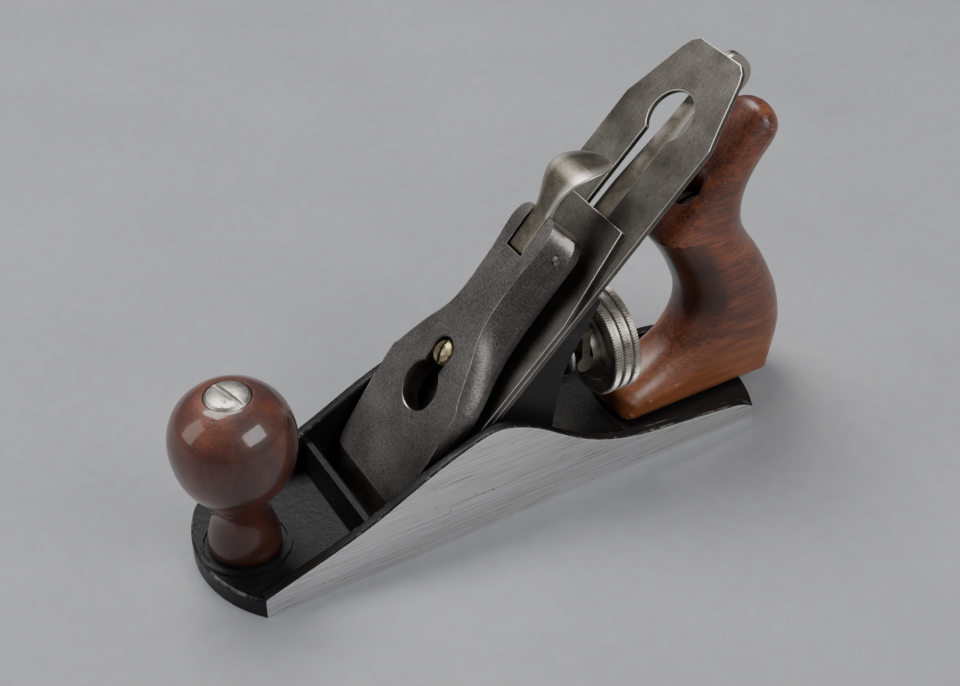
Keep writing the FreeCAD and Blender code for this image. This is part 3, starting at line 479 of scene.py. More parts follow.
def stretch_of_curve(before, here, there, after, parts):
    """Points of the smooth stretch from here up to there, with the neighbours on each side."""
    result = []
    for part in range(parts):
        t = part / parts
        point = []
        for p, q, r, v in zip(before, here, there, after):
            square = (2 * p - 5 * q + 4 * r - v) * t * t
            cube = (3 * q - p - 3 * r + v) * t ** 3
            point.append(0.5 * (2 * q + (r - p) * t + square + cube))
        result.append(tuple(point))
    return result


def rounded(profile, parts):
    """Open smooth curve through rows of numbers, with parts steps between each pair."""
    ends = [profile[0]] + profile + [profile[-1]]
    result = []
    for index in range(1, len(profile)):
        result += stretch_of_curve(*ends[index - 1 : index + 3], parts)
    return result + [profile[-1]]


def turned_rows(sheet, profile, x, count):
    """Turn (radius, height) points about an upright axis; returns the rows from first to last."""
    rows = []
    for radius, height in profile:
        turns = [2 * math.pi * step / count for step in range(count)]
        rows.append(sheet.row([(x + radius * math.cos(t), radius * math.sin(t), height) for t in turns]))
    for first, second in zip(rows, rows[1:]):
        sheet.band(first, second)
    return rows


# Outside of the knob from the foot up to the lip of the recess, then the recess itself.
knob_x = -99.6
knob_foot_z = 7.45
knob_outside = [
    (11.3, knob_foot_z), (11.8, 8.4), (11.9, 10.6), (11.4, 14.2), (10.3, 18.2), (9.5, 21.6),
    (9.45, 24.6), (10.6, 28.6), (13.4, 33.0), (16.8, 38.0), (19.0, 43.6), (20.0, 50.6), (19.5, 56.4),
    (17.5, 61.6), (14.2, 65.6), (10.8, 68.0), (8.4, 69.0),
]
knob_recess = [(7.6, 69.1), (7.35, 68.7), (7.35, 65.1)]
knob = Sheet()
knob_turned = turned_rows(knob, rounded(knob_outside, 5) + knob_recess, knob_x, 96)
knob.faces += [tuple(knob_turned[0]), tuple(knob_turned[-1])]
add_piece("front_knob", knob.mesh("front_knob", 40), "plane_body", knob_wood)


# ---- nickelled nut, hub and wheel ---------------------------------------------------
# Turned from brass and steel and plated with nickel, now worn: warm grey, cloudy, darker
# where dirt sits.  The nut clamps the knob on its rod; hub and wheel sit on the frog's stud.
nickel = Finish("nickel", Metallic=1.0)
haze = nickel.cloud(5, detail=6.0, rough=0.7)
fine = nickel.cloud(0.5, detail=3.0)
crust = nickel.cloud(2.2, detail=6.0, rough=0.8).fade(0.56, 0.68)
nickel_colour = nickel.colours(
    haze * 0.75 + fine * 0.25,
    (0.34, (0.24, 0.21, 0.17)),
    (0.50, (0.46, 0.43, 0.38)),
    (0.68, (0.62, 0.59, 0.54)),
)
nickel_colour = nickel.mix(crust * 0.65, nickel_colour, (0.07, 0.055, 0.04))
nickel.feed(
    Base_Color=nickel_colour,
    Roughness=0.26 + haze * 0.25 + crust * 0.2,
    Normal=nickel.relief(haze * 0.5 + fine * 0.5 - crust * 0.5, 0.10, 0.5),
)


# The knob's nut: turned to where its slot points, its rim level with the wood, its dome worn.
nut_turn = math.radians(70)
nut_seat_z = 65.0
nut_rim_z = 67.6
worn_rim_z = 68.85
dome_left = 0.6


def worn_nut(x, y, z):
    """New place of a point of the nut, in metres."""
    along = x - knob_x * MM
    height = z / MM
    if height > nut_rim_z:
        height = worn_rim_z + (height - nut_rim_z) * dome_left
    elif height > nut_seat_z:
        height = nut_seat_z + (height - nut_seat_z) * (worn_rim_z - nut_seat_z) / (nut_rim_z - nut_seat_z)
    return (
        knob_x * MM + along * math.cos(nut_turn) - y * math.sin(nut_turn),
        along * math.sin(nut_turn) + y * math.cos(nut_turn),
        height * MM,
    )


eased("knob_nut", "plane_body", nickel, 0.2, worn_nut)
put_on(nickel, "adjuster_hub")

# Knurled rings of the adjusting wheel, with a dished face towards the handle.
wheel_radius = 18.9
wheel_front = 29.5
wheel_width = 10.5
wheel_height = 37.5
tooth_count = 118
tooth_depth = 0.42
groove = 1.1
ring_width = (wheel_width - 2 * groove) / 3
wheel_profile = [(6.5, 0.0, 0), (7.2, 0.0, 0), (13.0, 0.0, 0), (14.0, 0.5, 0), (wheel_radius - 2.2, 0.5, 0)]
for ring in range(3):
    start = ring * (ring_width + groove)
    wheel_profile += [
        (wheel_radius - 1.2, start + 0.02, 0),
        (wheel_radius - 0.5, start + 0.08, 1),
        (wheel_radius - 0.05, start + 0.42, 1),
        (wheel_radius - 0.05, start + ring_width - 0.42, 1),
        (wheel_radius - 0.5, start + ring_width - 0.08, 1),
        (wheel_radius - 1.2, start + ring_width - 0.02, 0),
    ]
wheel_profile += [
    (wheel_radius - 2.2, wheel_width, 0),
    (wheel_radius - 3.0, wheel_width - 0.1, 0),
    (wheel_radius - 3.7, wheel_width - 0.9, 0),
    (wheel_radius - 4.4, wheel_width - 5.4, 0),
    (wheel_radius - 5.4, wheel_width - 6.2, 0),
    (9.6, wheel_width - 6.5, 0),
    (8.9, wheel_width - 6.1, 0),
    (8.5, wheel_width - 2.7, 0),
    (8.1, wheel_width - 2.5, 0),
    (6.5, wheel_width - 2.5, 0),
]
wheel = Sheet()
wheel_rows = []
for step in range(4 * tooth_count):
    angle = 2 * math.pi * step / (4 * tooth_count)
    cut = tooth_depth if step % 4 >= 2 else 0.0
    wheel_rows.append(
        wheel.row(
            [
                (
                    wheel_front + x,
                    (radius - cut * toothed) * math.cos(angle),
                    wheel_height + (radius - cut * toothed) * math.sin(angle),
                )
                for radius, x, toothed in wheel_profile
            ]
        )
    )
for first, second in zip(wheel_rows, wheel_rows[1:] + wheel_rows[:1]):
    wheel.band(first, second)
add_piece("adjuster_wheel", wheel.mesh("adjuster_wheel", 24), "wheel", nickel)


# ---- steel rods, pins and screws ----------------------------------------------------
# Plain turned steel, dulled and spotted with age: the rods inside knob and handle, and the
# screws, washers, pins and rivets that hold the frog, the levers and the irons.
plain_steel = Finish("screw_steel", Metallic=1.0)
spots = plain_steel.cloud(1.4, detail=5.0, rough=0.7)
plain_steel.feed(
    Base_Color=plain_steel.colours(spots, (0.35, (0.10, 0.085, 0.07)), (0.65, (0.34, 0.32, 0.30))),
    Roughness=0.34 + spots * 0.2,
    Normal=plain_steel.relief(spots, 0.06, 0.4),
)
put_on(
    plain_steel, "knob_stud", "tote_stud", "frog_screws", "frog_washers", "adjuster_stud", "yoke_pin",
    "lateral_disc", "lateral_rivet", "cap_iron_screw", "cam_pin", "spring_rivet",
)


# ---- tote nut -----------------------------------------------------------------------
# Slotted nut down in the horn that clamps the handle through its rod, coloured near black
# as painted shade for the recess it sits in, mottled with a little rust.
shaded_nut = Finish("shaded_rusty_nut", Metallic=0.6)
put_on(shaded_nut, "tote_nut")
crusted = shaded_nut.cloud(1.4, detail=6.0, rough=0.7)
shaded_nut.feed(
    Base_Color=shaded_nut.colours(crusted, (0.38, (0.008, 0.006, 0.005)), (0.62, (0.035, 0.025, 0.018))),
    Roughness=0.55 + crusted * 0.3,
    Normal=shaded_nut.relief(crusted, 0.2, 0.7),
)


# ---- tote ---------------------------------------------------------------------------
# Sawn from a plank with the grain running from toe to heel, the edges rounded over by hand;
# the cove where the fingers close is darkened with grime and painted shade.
tote_wood = Finish("tote_wood", Coat_Weight=0.5, Coat_Roughness=0.26)
grain_lines = tote_wood.cloud(0.75, stretch=(26, 1, 1), detail=4.0, rough=0.7)
tote_figure = tote_wood.cloud(8, stretch=(4.0, 1, 1), detail=6.0, rough=0.6)
mottled = tote_wood.cloud(3.2, stretch=(1.6, 1, 1), detail=6.0, rough=0.75)
tote_colour = tote_wood.colours(
    tote_figure * 0.4 + grain_lines * 0.45 + mottled * 0.15,
    (0.36, (0.030, 0.008, 0.004)),
    (0.46, (0.090, 0.021, 0.009)),
    (0.55, (0.175, 0.046, 0.017)),
    (0.68, (0.300, 0.094, 0.034)),
)
# Paler, more orange colour towards the base.
paler_towards_base = tote_wood.along("Z").fade(30 * MM, 14 * MM) * 0.5
tote_colour = tote_wood.mix(paler_towards_base * (0.3 + grain_lines), tote_colour, (0.360, 0.120, 0.036))
# Grime and painted shade in the finger cove, from the marks in the mesh.
cove_grime_and_shade = tote_wood.wear_and_painted_light_share()
tote_colour = tote_wood.mix(cove_grime_and_shade * (0.35 + mottled * 0.7), tote_colour, (0.022, 0.008, 0.005))
black_spots = tote_wood.cells(3.0).fade(0.12, 0.03) * tote_wood.cloud(12).fade(0.50, 0.60)
tote_colour = tote_wood.mix(black_spots * 0.8, tote_colour, (0.012, 0.005, 0.003))
tote_wood.feed(
    Base_Color=tote_colour,
    Roughness=0.34 + grain_lines * 0.2 - cove_grime_and_shade * 0.08,
    Normal=tote_wood.relief(grain_lines * 0.7 + mottled * 0.8 - black_spots * 0.5, 0.20, 0.45),
)


def flowing(controls, parts):
    """Closed smooth curve through rows of numbers, with parts steps between each pair."""
    count = len(controls)
    result = []
    for index in range(count):
        result += stretch_of_curve(*(controls[(index + k) % count] for k in (-1, 0, 1, 2)), parts)
    return result


def clamped(value):
    return min(max(value, 0.0), 1.0)


# Side outline from the front of the base up the finger side, round the horn and down the
# palm side; each row is x, z, how far in the rounding reaches, and how deep it is.
tote_rows = [
    (46.0, 5.0, 3.0, 3.0),
    (42.5, 5.0, 3.0, 3.0),
    (39.6, 5.8, 5.0, 5.0),
    (38.9, 9.5, 7.0, 8.0),
    (40.0, 13.9, 8.0, 9.0),
    (42.8, 16.2, 9.0, 9.0),
    (46.5, 17.6, 9.0, 9.0),
    (53.0, 20.4, 11.0, 9.5),
    (58.6, 23.6, 13.0, 10.0),
    (63.2, 27.2, 14.0, 10.5),
    (66.3, 31.8, 14.5, 11.0),
    (68.4, 36.6, 14.5, 11.0),
    (68.7, 42.7, 14.5, 11.0),
    (67.4, 48.4, 14.5, 11.0),
    (63.2, 57.6, 14.0, 11.0),
    (58.4, 65.6, 13.0, 10.5),
    (55.2, 70.4, 11.0, 9.0),
    (54.3, 73.4, 8.0, 7.5),
    (58.0, 78.0, 6.5, 6.5),
    (68.2, 89.8, 6.5, 6.5),
    (80.0, 103.4, 6.5, 6.5),
    (87.0, 110.9, 7.5, 7.5),
    (90.0, 113.6, 9.0, 9.0),
    (93.0, 114.0, 10.0, 10.0),
    (96.6, 112.2, 11.0, 10.4),
    (99.4, 108.2, 11.0, 10.4),
    (99.8, 104.0, 11.0, 10.4),
    (97.8, 99.4, 11.0, 10.4),
    (93.8, 94.2, 11.0, 10.4),
    (90.8, 89.1, 11.0, 10.6),
    (88.8, 83.1, 11.5, 10.8),
    (88.2, 77.2, 12.0, 10.9),
    (89.2, 70.8, 12.5, 11.4),
    (92.7, 64.0, 12.5, 11.8),
    (97.9, 56.6, 12.5, 12.2),
    (103.1, 47.6, 12.5, 12.4),
    (107.5, 38.1, 12.5, 12.4),
    (110.0, 27.9, 12.0, 12.2),
    (109.9, 20.0, 11.0, 12.0),
    (107.6, 13.0, 9.0, 11.0),
    (104.6, 8.4, 6.0, 8.0),
    (101.0, 5.4, 3.0, 3.0),
    (95.0, 5.0, 3.0, 3.0),
    (78.0, 5.0, 3.0, 3.0),
    (60.0, 5.0, 3.0, 3.0),
]
tote_parts = 7
tote_foot_z = 5.02
tote_edge = [
    (x, max(z, tote_foot_z), reach, depth) for x, z, reach, depth in flowing(tote_rows, tote_parts)
]


def tote_half(z):
    """Half thickness of the flat sides: full at the base, slimmer at the horn."""
    share = clamped((z - 46.0) / 42.0)
    return 12.9 - 2.1 * share * share * (3 - 2 * share)


def tote_bulge(z, inward, reach, depth):
    """Half thickness at a distance in from the edge."""
    gone = 1 - min(inward / reach, 1.0)
    return tote_half(z) - depth + depth * math.sqrt(1 - gone * gone)


tote_finder = KDTree(len(tote_edge))
for index, (x, z, reach, depth) in enumerate(tote_edge):
    tote_finder.insert((x, z, 0), index)
tote_finder.balance()


def into_tote(x, z):
    """Nearest outline point of a place inside the outline, and how far in the place lies."""
    _, index, _ = tote_finder.find((x, z, 0))
    spot = Vector((x, z))
    here = Vector(tote_edge[index][:2])
    gaps = []
    for other in (index - 1, (index + 1) % len(tote_edge)):
        foot, share = intersect_point_line(spot, here, Vector(tote_edge[other][:2]))
        gaps.append((spot - (foot.to_2d() if 0 < share < 1 else here)).length)
    return index, min(gaps)


# Rings of points that follow the outline inwards, so that the rounding is smooth.
ring_points = {}
for index, (x, z, reach, depth) in enumerate(tote_edge):
    before = tote_edge[index - 1]
    after = tote_edge[(index + 1) % len(tote_edge)]
    way = Vector((after[0] - before[0], after[1] - before[1])).normalized()
    for share in (0.035, 0.11, 0.22, 0.36, 0.53, 0.74, 0.99):
        inward = share * reach
        spot = (x + way.y * inward, z - way.x * inward)
        if tote_finder.find((*spot, 0))[2] > 0.96 * inward:
            ring_points[(round(spot[0], 4), round(spot[1], 4))] = tote_bulge(spot[1], inward, reach, depth)


def tote_side(side):
    """Function that lifts a place of the outline onto the left (-1) or right (1) side."""

    def lift(x, z):
        known = ring_points.get((round(x, 4), round(z, 4)))
        if known is None:
            index, inward = into_tote(x, z)
            known = tote_bulge(z, inward, *tote_edge[index][2:])
        return (x, side * known, z)

    return lift


tote = Sheet()
tote_rims = [
    tote.row([(x, side * (tote_half(z) - depth), z) for x, z, reach, depth in tote_edge]) for side in (-1, 1)
]
tote.band(*tote_rims)
for rim, side in zip(tote_rims, (-1, 1)):
    tote.patch([rim], lambda point: (point.x, point.z), tote_side(side), 1.6, ring_points)

# Grime and painted shade where the fingers close, fading out at both ends of the cove and into the flat
# side.
cove_first = 8 * tote_parts
cove_last = 17 * tote_parts
for index, point in enumerate(tote.points):
    nearest, inward = into_tote(point.x, point.z)
    if cove_first <= nearest <= cove_last:
        ends = clamped((point.z - 30.0) / 12.0) * clamped((76.0 - point.z) / 10.0)
        tote.wear_and_painted_light[index] = ends * clamped((12.5 - inward) / 3.0)
tote_mesh = tote.mesh("tote", 60)

# Recess for the nut, bored down the rod into the sloping front of the horn.
rod_foot = Vector((82.0, 0.0, 5.0))
rod_way = Vector((-15.0, 0.0, 87.5)).normalized()
recess_radius = 5.8
recess = Sheet()
recess_rows = []
turns = [2 * math.pi * step / 64 for step in range(64)]
for along in (74.9, 106.0):
    middle = rod_foot + rod_way * along
    recess_rows.append(
        recess.row([middle + Vector((math.cos(t), math.sin(t), 0)) * recess_radius for t in turns])
    )
recess.band(*recess_rows)
recess.faces += [tuple(recess_rows[0]), tuple(recess_rows[1])]
recess_tool = bpy.data.objects.new("recess_tool", recess.mesh("recess_tool", 60))
bpy.context.scene.collection.objects.link(recess_tool)
tote_mesh = applied(tote_mesh, kind="BOOLEAN", operation="DIFFERENCE", object=recess_tool, solver="EXACT")
bpy.data.objects.remove(recess_tool)
add_piece("tote", tote_mesh, "plane_body", tote_wood)


# ---- cutter and cap iron ------------------------------------------------------------
# Two flat strips of tool steel screwed back to back, brown-grey with age and faintly
# scratched along their length; the cap iron is a little smoother and cleaner.
bed_slope = math.radians(45)
blade_steel = Finish("blade_steel", turn=bed_slope, Metallic=1.0)
scratches = blade_steel.cloud(0.45, stretch=(34, 1, 1), detail=3.0, rough=0.7)
patina = blade_steel.cloud(15, detail=6.0, rough=0.6)
speckle = blade_steel.cloud(0.8, detail=5.0, rough=0.75)
blade_rust = blade_steel.cloud(4, detail=7.0, rough=0.75).fade(0.58, 0.72)
blade_colour = blade_steel.colours(
    patina * 0.5 + scratches * 0.15 + speckle * 0.35,
    (0.36, (0.075, 0.066, 0.056)),
    (0.50, (0.140, 0.127, 0.110)),
    (0.64, (0.225, 0.210, 0.188)),
)
blade_colour = blade_steel.mix(blade_rust * 0.45, blade_colour, (0.060, 0.042, 0.030))
# Eased edges rubbed bright, with a painted highlight line laid on them.
blade_edge_wear_and_highlight = blade_steel.wear_and_painted_light_share() * (0.45 + patina)
blade_colour = blade_steel.mix(blade_edge_wear_and_highlight * 0.9, blade_colour, (0.74, 0.72, 0.68))
blade_steel.feed(
    Base_Color=blade_colour,
    Roughness=0.34 + patina * 0.18 + blade_rust * 0.1,
    Normal=blade_steel.relief(speckle * 0.7 + scratches * 0.3, 0.06, 0.45),
)
eased("cutter_iron", "cutter", blade_steel, 0.22)
eased("cap_iron", "cutter", blade_steel, 0.3)


# ---- lever cap ----------------------------------------------------------------------
# Cast iron, machined on top and along the sloping sides; finely pitted and dark on the
# flats, rubbed bright along its ridges, with a painted highlight laid there as well.
cap_steel = Finish("cap_steel", turn=bed_slope, Metallic=1.0)
cap_pits = cap_steel.cloud(0.7, detail=4.0, rough=0.8)
cap_cloud = cap_steel.cloud(13, detail=5.0)
cap_rust = cap_steel.cells(1.5).fade(0.30, 0.08) * cap_steel.cloud(10, detail=5.0).fade(0.44, 0.62)
cap_colour = cap_steel.colours(
    cap_pits * 0.7 + cap_cloud * 0.3,
    (0.34, (0.070, 0.063, 0.057)),
    (0.50, (0.165, 0.152, 0.140)),
    (0.66, (0.290, 0.272, 0.255)),
)
cap_colour = cap_steel.mix(cap_rust * 0.8, cap_colour, (0.035, 0.026, 0.022))
# Crest rows rubbed bright, with a painted highlight along them.
crest_wear_and_highlight = cap_steel.wear_and_painted_light_share().fade(0.55, 1.0) * (0.35 + cap_cloud)
cap_colour = cap_steel.mix(crest_wear_and_highlight * 0.9, cap_colour, (0.72, 0.69, 0.64))
cap_steel.feed(
    Base_Color=cap_colour,
    Roughness=0.30 + cap_pits * 0.16 - crest_wear_and_highlight * 0.1,
    Normal=cap_steel.relief(cap_pits - cap_rust * 1.2, 0.10, 0.6),
)

slope = math.sqrt(0.5)
mouth_x = -60.3


def on_bed(along, across, out):
    """Turn a place given along, across and out of the sloping bed into an upright one."""
    return Vector((mouth_x + (along - out) * slope, across, (along + out) * slope))


def off_bed(point):
    """Distances along and across the bed of an upright point."""
    return ((point.x - mouth_x + point.z) * slope, point.y)


def between(table, place):
    """Read a value from a table of (place, value) pairs."""
    for (low, first), (high, second) in zip(table, table[1:]):
        if place <= high:
            share = max((place - low) / (high - low), 0.0)
            return first + (second - first) * share
    return table[-1][1]


# Right half of the plan: along, half width of the flat top, half width of the foot below it.
cap_plan = [
    (14.5, 9.0, 9.0), (14.5, 17.6, 18.2), (15.2, 19.2, 19.9), (17.2, 20.2, 20.9), (22.0, 20.7, 21.4),
    (27.0, 20.8, 21.5), (34.0, 21.0, 21.7), (41.0, 21.0, 21.7), (48.0, 20.8, 21.6), (52.5, 20.6, 21.5),
    (54.0, 20.3, 21.4), (54.6, 19.6, 21.2), (56.5, 18.7, 20.7), (59.0, 17.7, 20.1), (62.0, 16.5, 19.2),
    (65.0, 15.2, 18.3), (68.0, 13.9, 17.4), (71.0, 12.4, 16.7), (74.0, 10.8, 16.1), (77.0, 9.6, 15.7),
    (80.0, 8.9, 15.4), (84.0, 8.4, 15.1), (89.0, 8.15, 14.9), (94.0, 8.15, 14.8), (99.0, 8.3, 14.7),
    (104.0, 8.7, 14.7), (108.0, 9.2, 14.7), (111.5, 9.5, 14.6), (114.0, 9.4, 14.2), (116.0, 8.9, 13.4),
    (117.6, 8.0, 12.0), (118.5, 6.9, 10.0), (118.9, 5.6, 7.6), (119.0, 4.5, 4.5), (116.0, 4.5, 4.5),
    (112.0, 4.5, 4.5), (108.0, 4.5, 4.5), (103.7, 4.5, 4.5), (103.7, 2.2, 2.2),
]
# Along the cap: height of the flat top, height of the foot, and sag of the slope between them.
cap_top = [
    (14.5, 8.0), (18.5, 8.8), (26.0, 10.1), (33.0, 11.3), (40.0, 12.5), (47.0, 13.8), (54.0, 15.0),
    (58.7, 15.7), (63.2, 16.1), (70.0, 16.6), (103.7, 18.62), (112.0, 19.12), (116.0, 19.2), (119.5, 18.8),
]
cap_foot = [
    (14.5, 6.4), (26.0, 7.3), (40.0, 8.0), (54.0, 8.5), (67.8, 8.8), (84.0, 9.6), (100.0, 10.2),
    (120.0, 11.2),
]
cap_hollow = [
    (14.5, 0.0), (53.9, 0.0), (57.0, 0.5), (66.0, 0.9), (90.0, 0.8), (112.0, 0.5), (117.0, 0.2),
    (118.8, 0.0),
]


def cap_ring(share, inset, wear_and_painted_light=0.0):
    """Closed row round the lever cap: share runs from the crest (0) to the foot (1)."""
    right_side = []
    for along, crest, foot in cap_plan:
        top = between(cap_top, along)
        low = between(cap_foot, along)
        reach = foot - crest
        drop = low - top
        length = math.hypot(reach, drop)
        sag = 4 * share * (1 - share) * between(cap_hollow, along)
        in_notch = crest == foot
        across = crest + reach * share + (0 if in_notch else sag * drop / length)
        out = top + drop * share - (0 if in_notch else sag * reach / length)
        right_side.append((along, across, out))
    full = right_side + [(along, -across, out) for along, across, out in reversed(right_side)]
    if inset:
        full = drawn_in(full, inset)
    return cap.row([on_bed(*place) for place in full], wear_and_painted_light)


def drawn_in(loop, inset):
    """Move a closed loop inwards in plan by a small distance."""
    moved = []
    for index, (along, across, out) in enumerate(loop):
        before = loop[index - 1]
        after = loop[(index + 1) % len(loop)]
        way = Vector((after[0] - before[0], after[1] - before[1])).normalized()
        moved.append((along - way.y * inset, across + way.x * inset, out))
    return moved


wide_lobe_place = 50.5
wide_lobe_radius = 8.3
narrow_lobe_place = 64.0
narrow_lobe_radius = 5.1
keyhole_neck = 4.5


def keyhole(inset, level, wear_and_painted_light=0.0):
    """Row round the pear-shaped hole, widened by inset; level gives its height over the bed."""
    wide = wide_lobe_radius + inset
    narrow = narrow_lobe_radius + inset
    neck = keyhole_neck + inset
    wide_end = math.asin(neck / wide)
    narrow_end = math.asin(neck / narrow)
    places = []
    for step in range(33):
        angle = wide_end + (2 * math.pi - 2 * wide_end) * step / 32
        places.append((wide_lobe_place + wide * math.cos(angle), wide * math.sin(angle)))
    for step in range(21):
        angle = math.pi + narrow_end + (2 * math.pi - 2 * narrow_end) * step / 20
        places.append((narrow_lobe_place + narrow * math.cos(angle), narrow * math.sin(angle)))
    return cap.row([on_bed(s, y, level(s)) for s, y in places], wear_and_painted_light)


def cap_under(along):
    """Height of the cap's underside over the bed."""
    return 4.4 + (along - 14.5) * 0.03


cap = Sheet()
# The third numbers mark crest rows rubbed bright, partly a painted highlight.
cap_rows = [cap_ring(0.0, 0.28, 0.6), cap_ring(0.0, 0.0, 1.0), cap_ring(0.03, 0.0, 0.8)]
cap_rows += [cap_ring(share, 0.0) for share in (0.09, 0.2, 0.35, 0.5, 0.65, 0.8, 0.93)]
cap_rows += [cap_ring(1.0, 0.0, 0.35)]
under_row = cap.row(
    [
        on_bed(s, math.copysign(half - 0.05, side), cap_under(s))
        for side, plan in ((1, cap_plan), (-1, reversed(cap_plan)))
        for s, _, half in plan
    ]
)
for first, second in zip(cap_rows, cap_rows[1:] + [under_row]):
    cap.band(first, second)
# The keyhole's edge rows are marked bright the same way, partly a painted highlight.
hole_rows = [
    keyhole(0.3, lambda s: between(cap_top, s), 0.5),
    keyhole(0.0, lambda s: between(cap_top, s) - 0.3, 0.9),
    keyhole(0.0, cap_under),
]
cap.band(hole_rows[0], hole_rows[1])
cap.band(hole_rows[1], hole_rows[2])
cap.patch([cap_rows[0], hole_rows[0]], off_bed, lambda s, y: on_bed(s, y, between(cap_top, s)), 2.2)
pocket_plan = [(78.0, -9.0), (102.9, -9.0), (102.9, 9.0), (78.0, 9.0)]
pocket_rows = [cap.row([on_bed(s, y, level or cap_under(s)) for s, y in pocket_plan]) for level in (0, 12.6)]
cap.band(*pocket_rows)
cap.faces.append(tuple(pocket_rows[1]))
cap.patch([under_row, hole_rows[2], pocket_rows[0]], off_bed, lambda s, y: on_bed(s, y, cap_under(s)), 6.0)
add_piece("lever_cap", cap.mesh("lever_cap", 26), "lever_cap", cap_steel)


# ---- pressed levers and spring ------------------------------------------------------
# Cam lever, lateral lever, yoke and leaf spring: bent from steel, each held by a pin or a
# rivet, polished once and now softly pitted.
lever_steel = Finish("lever_steel", turn=bed_slope, Metallic=1.0)
lever_pits = lever_steel.cloud(0.7, detail=4.0, rough=0.7)
lever_cloud = lever_steel.cloud(9, detail=6.0, rough=0.65)
lever_colour = lever_steel.colours(
    lever_pits * 0.35 + lever_cloud * 0.65,
    (0.36, (0.090, 0.076, 0.055)),
    (0.50, (0.165, 0.145, 0.112)),
    (0.66, (0.280, 0.255, 0.212)),
)
# Edges marked in the mesh are rubbed bright and carry a painted highlight.
lever_colour = lever_steel.mix(lever_steel.wear_and_painted_light_share() * 0.8, lever_colour, (0.68, 0.64, 0.57))
lever_steel.feed(
    Base_Color=lever_colour,
    Roughness=0.30 + lever_pits * 0.2,
    Normal=lever_steel.relief(lever_pits, 0.07, 0.5),
)
put_on(lever_steel, "yoke", "cap_spring")

# Cam lever: heel between the ears, a flat strip, then a thumb spoon that arches over the
# end of the cap.  Each row holds the top edge, the bottom edge, half width and crown.
cam_rows = [
    (104.05, 18.2, 104.0, 13.0, 4.2, 0.0),
    (105.6, 18.3, 104.7, 9.8, 4.2, 0.0),
    (107.6, 18.45, 107.0, 6.8, 4.2, 0.0),
    (110.0, 18.6, 110.0, 5.6, 4.2, 0.0),
    (112.4, 18.75, 112.5, 6.0, 4.2, 0.0),
    (115.0, 18.95, 115.2, 8.8, 4.2, 0.0),
    (117.6, 19.2, 117.6, 14.6, 4.2, 0.0),
    (119.8, 19.6, 120.0, 17.2, 4.25, 0.0),
    (121.8, 20.3, 122.2, 18.3, 4.5, 0.0),
    (124.0, 21.2, 124.6, 19.4, 5.1, 0.05),
    (126.6, 22.2, 127.2, 20.6, 6.1, 0.15),
    (129.4, 22.8, 129.8, 21.3, 7.2, 0.25),
    (132.4, 22.7, 132.3, 21.3, 8.1, 0.35),
    (135.4, 21.6, 134.8, 20.3, 8.6, 0.4),
    (138.2, 19.5, 137.3, 18.4, 8.7, 0.4),
    (140.6, 16.8, 139.6, 15.9, 8.2, 0.35),
    (142.6, 13.9, 141.5, 13.2, 7.0, 0.25),
    (143.9, 11.6, 142.9, 11.1, 5.2, 0.15),
    (144.5, 10.2, 143.6, 9.8, 3.2, 0.05),
]
cam = Sheet()
cam_loops = []
for top_s, top_n, low_s, low_n, half, crown in cam_rows:
    thick = Vector((low_s - top_s, low_n - top_n))
    depth = thick.length
    loop = []
    for across, sunk in ((-1, 0.45), (-0.93, 0.06), (-0.5, 0), (0, 0), (0.5, 0), (0.93, 0.06), (1, 0.45)):
        share = (min(sunk, 0.45 * depth) + crown * across * across) / depth
        loop.append((top_s + thick.x * share, across * half, top_n + thick.y * share))
    for across, sunk in ((1, 0.3), (0.95, 0.0), (0.5, 0), (0, 0), (-0.5, 0), (-0.95, 0.0), (-1, 0.3)):
        share = 1 - (min(sunk, 0.4 * depth) - crown * across * across) / depth
        loop.append((top_s + thick.x * share, across * half, top_n + thick.y * share))
    cam_loops.append(loop)
cam_grid = [cam.row([on_bed(*place) for place in loop]) for loop in cam_loops]
# Corners of the thumb spoon are marked as rubbed bright metal with a painted highlight.
cam_corners = (0, 1, 5, 6, 7, 13)
for row in cam_grid[7:]:
    for corner in cam_corners:
        cam.wear_and_painted_light[row[corner]] = 0.9
for first, second in zip(cam_grid, cam_grid[1:]):
    cam.band(first, second)
cam.faces += [tuple(cam_grid[0]), tuple(cam_grid[-1])]
cam_mesh = cam.mesh("cam_lever", 35)
cam_mesh = applied(cam_mesh, kind="SUBSURF", levels=2)
add_piece("cam_lever", cam_mesh, "cam", lever_steel)

# Lateral lever: a long strip that spreads towards its pivot, its top end folded over into a
# round finger tab with a fine slit between the two folds.
strip_plan = [
    (99.1, 1.6), (100.6, 3.3), (103.0, 4.0), (108.0, 5.0), (116.0, 5.9), (128.0, 6.2), (140.0, 6.0),
    (150.0, 5.2), (160.0, 4.3), (170.0, 3.7), (178.0, 3.4), (184.0, 3.0), (186.0, 2.0),
]
strip_back = -6.0
strip_front = -4.4
rivet_place = 103.0
rivet_hole = 2.06
lateral = Sheet()
lateral_rows = []
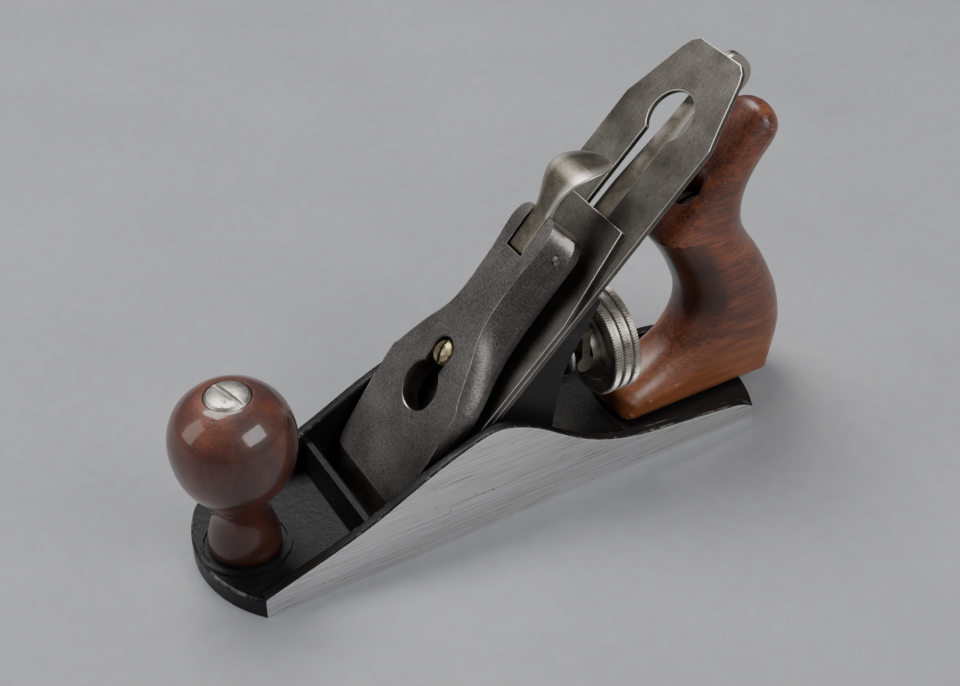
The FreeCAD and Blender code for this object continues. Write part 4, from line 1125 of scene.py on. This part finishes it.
# Each row: inset, height over the bed, and how much rubbed brightness with painted highlight it carries.
strip_edge = ((0.25, strip_back, 0.2), (0.0, -5.8, 0.6), (0.0, -4.6, 0.9), (0.25, strip_front, 0.6))
for inset, out, worn in strip_edge:
    right_side = [(s + (0.2 if s < 100 else 0), half - inset) for s, half in strip_plan]
    left_side = [(s, -half) for s, half in reversed(right_side)]
    lateral_rows.append(lateral.row([on_bed(s, y, out) for s, y in right_side + left_side], worn))
for first, second in zip(lateral_rows, lateral_rows[1:]):
    lateral.band(first, second)
hole_turns = [step * math.pi / 12 for step in range(24)]
hole_edge = [(rivet_place + rivet_hole * math.cos(t), rivet_hole * math.sin(t)) for t in hole_turns]
pivot_rows = [lateral.row([on_bed(s, y, out) for s, y in hole_edge]) for out in (strip_back, strip_front)]
lateral.band(*pivot_rows)
lateral.patch([lateral_rows[0], pivot_rows[0]], off_bed, lambda s, y: on_bed(s, y, strip_back), 4.0)
lateral.patch([lateral_rows[-1], pivot_rows[1]], off_bed, lambda s, y: on_bed(s, y, strip_front), 4.0)
tab_outline = rounded(
    [
        (179.2, -5.9), (181.2, -9.5), (183.0, -13.6), (185.6, -16.6), (189.4, -17.4), (192.8, -16.4),
        (195.2, -13.4), (195.9, -9.6), (195.6, -6.2), (194.2, -4.1), (191.6, -3.3), (187.0, -3.25),
        (183.0, -3.3), (180.2, -4.3), (179.2, -5.9),
    ],
    3,
)[:-1]
tab_middle = Vector((187.5, -10.0))
for side in (-1, 1):
    tab_rows = []
    # The last number of each ring is its rubbed brightness with painted highlight.
    for inset, across, worn in ((0.0, 0.22, 0.3), (0.0, 1.45, 0.4), (0.18, 1.8, 0.9), (0.5, 1.9, 0.5)):
        ring = []
        for place in tab_outline:
            reach = Vector(place) - tab_middle
            spot = tab_middle + reach * (1 - inset / reach.length)
            ring.append(on_bed(spot.x, side * across, spot.y))
        tab_rows.append(lateral.row(ring, worn))
    for first, second in zip(tab_rows, tab_rows[1:]):
        lateral.band(first, second)
    lateral.faces += [tuple(tab_rows[0]), tuple(tab_rows[-1])]
add_piece("lateral_lever", lateral.mesh("lateral_lever", 34), "lateral", lever_steel)


# ---- lever cap screw ----------------------------------------------------------------
# Turned from yellow metal with a domed, slotted head, under a dark patina; the keyhole of
# the lever cap slips over it.
brass = Finish("brass", Metallic=1.0)
put_on(brass, "lever_cap_screw")
tarnish = brass.cloud(2.4, detail=6.0, rough=0.7)
brass.feed(
    Base_Color=brass.colours(
        tarnish, (0.38, (0.13, 0.10, 0.06)), (0.56, (0.40, 0.33, 0.20)), (0.72, (0.60, 0.52, 0.36))
    ),
    Roughness=0.26 + tarnish * 0.25,
    Normal=brass.relief(tarnish, 0.1, 0.5),
)
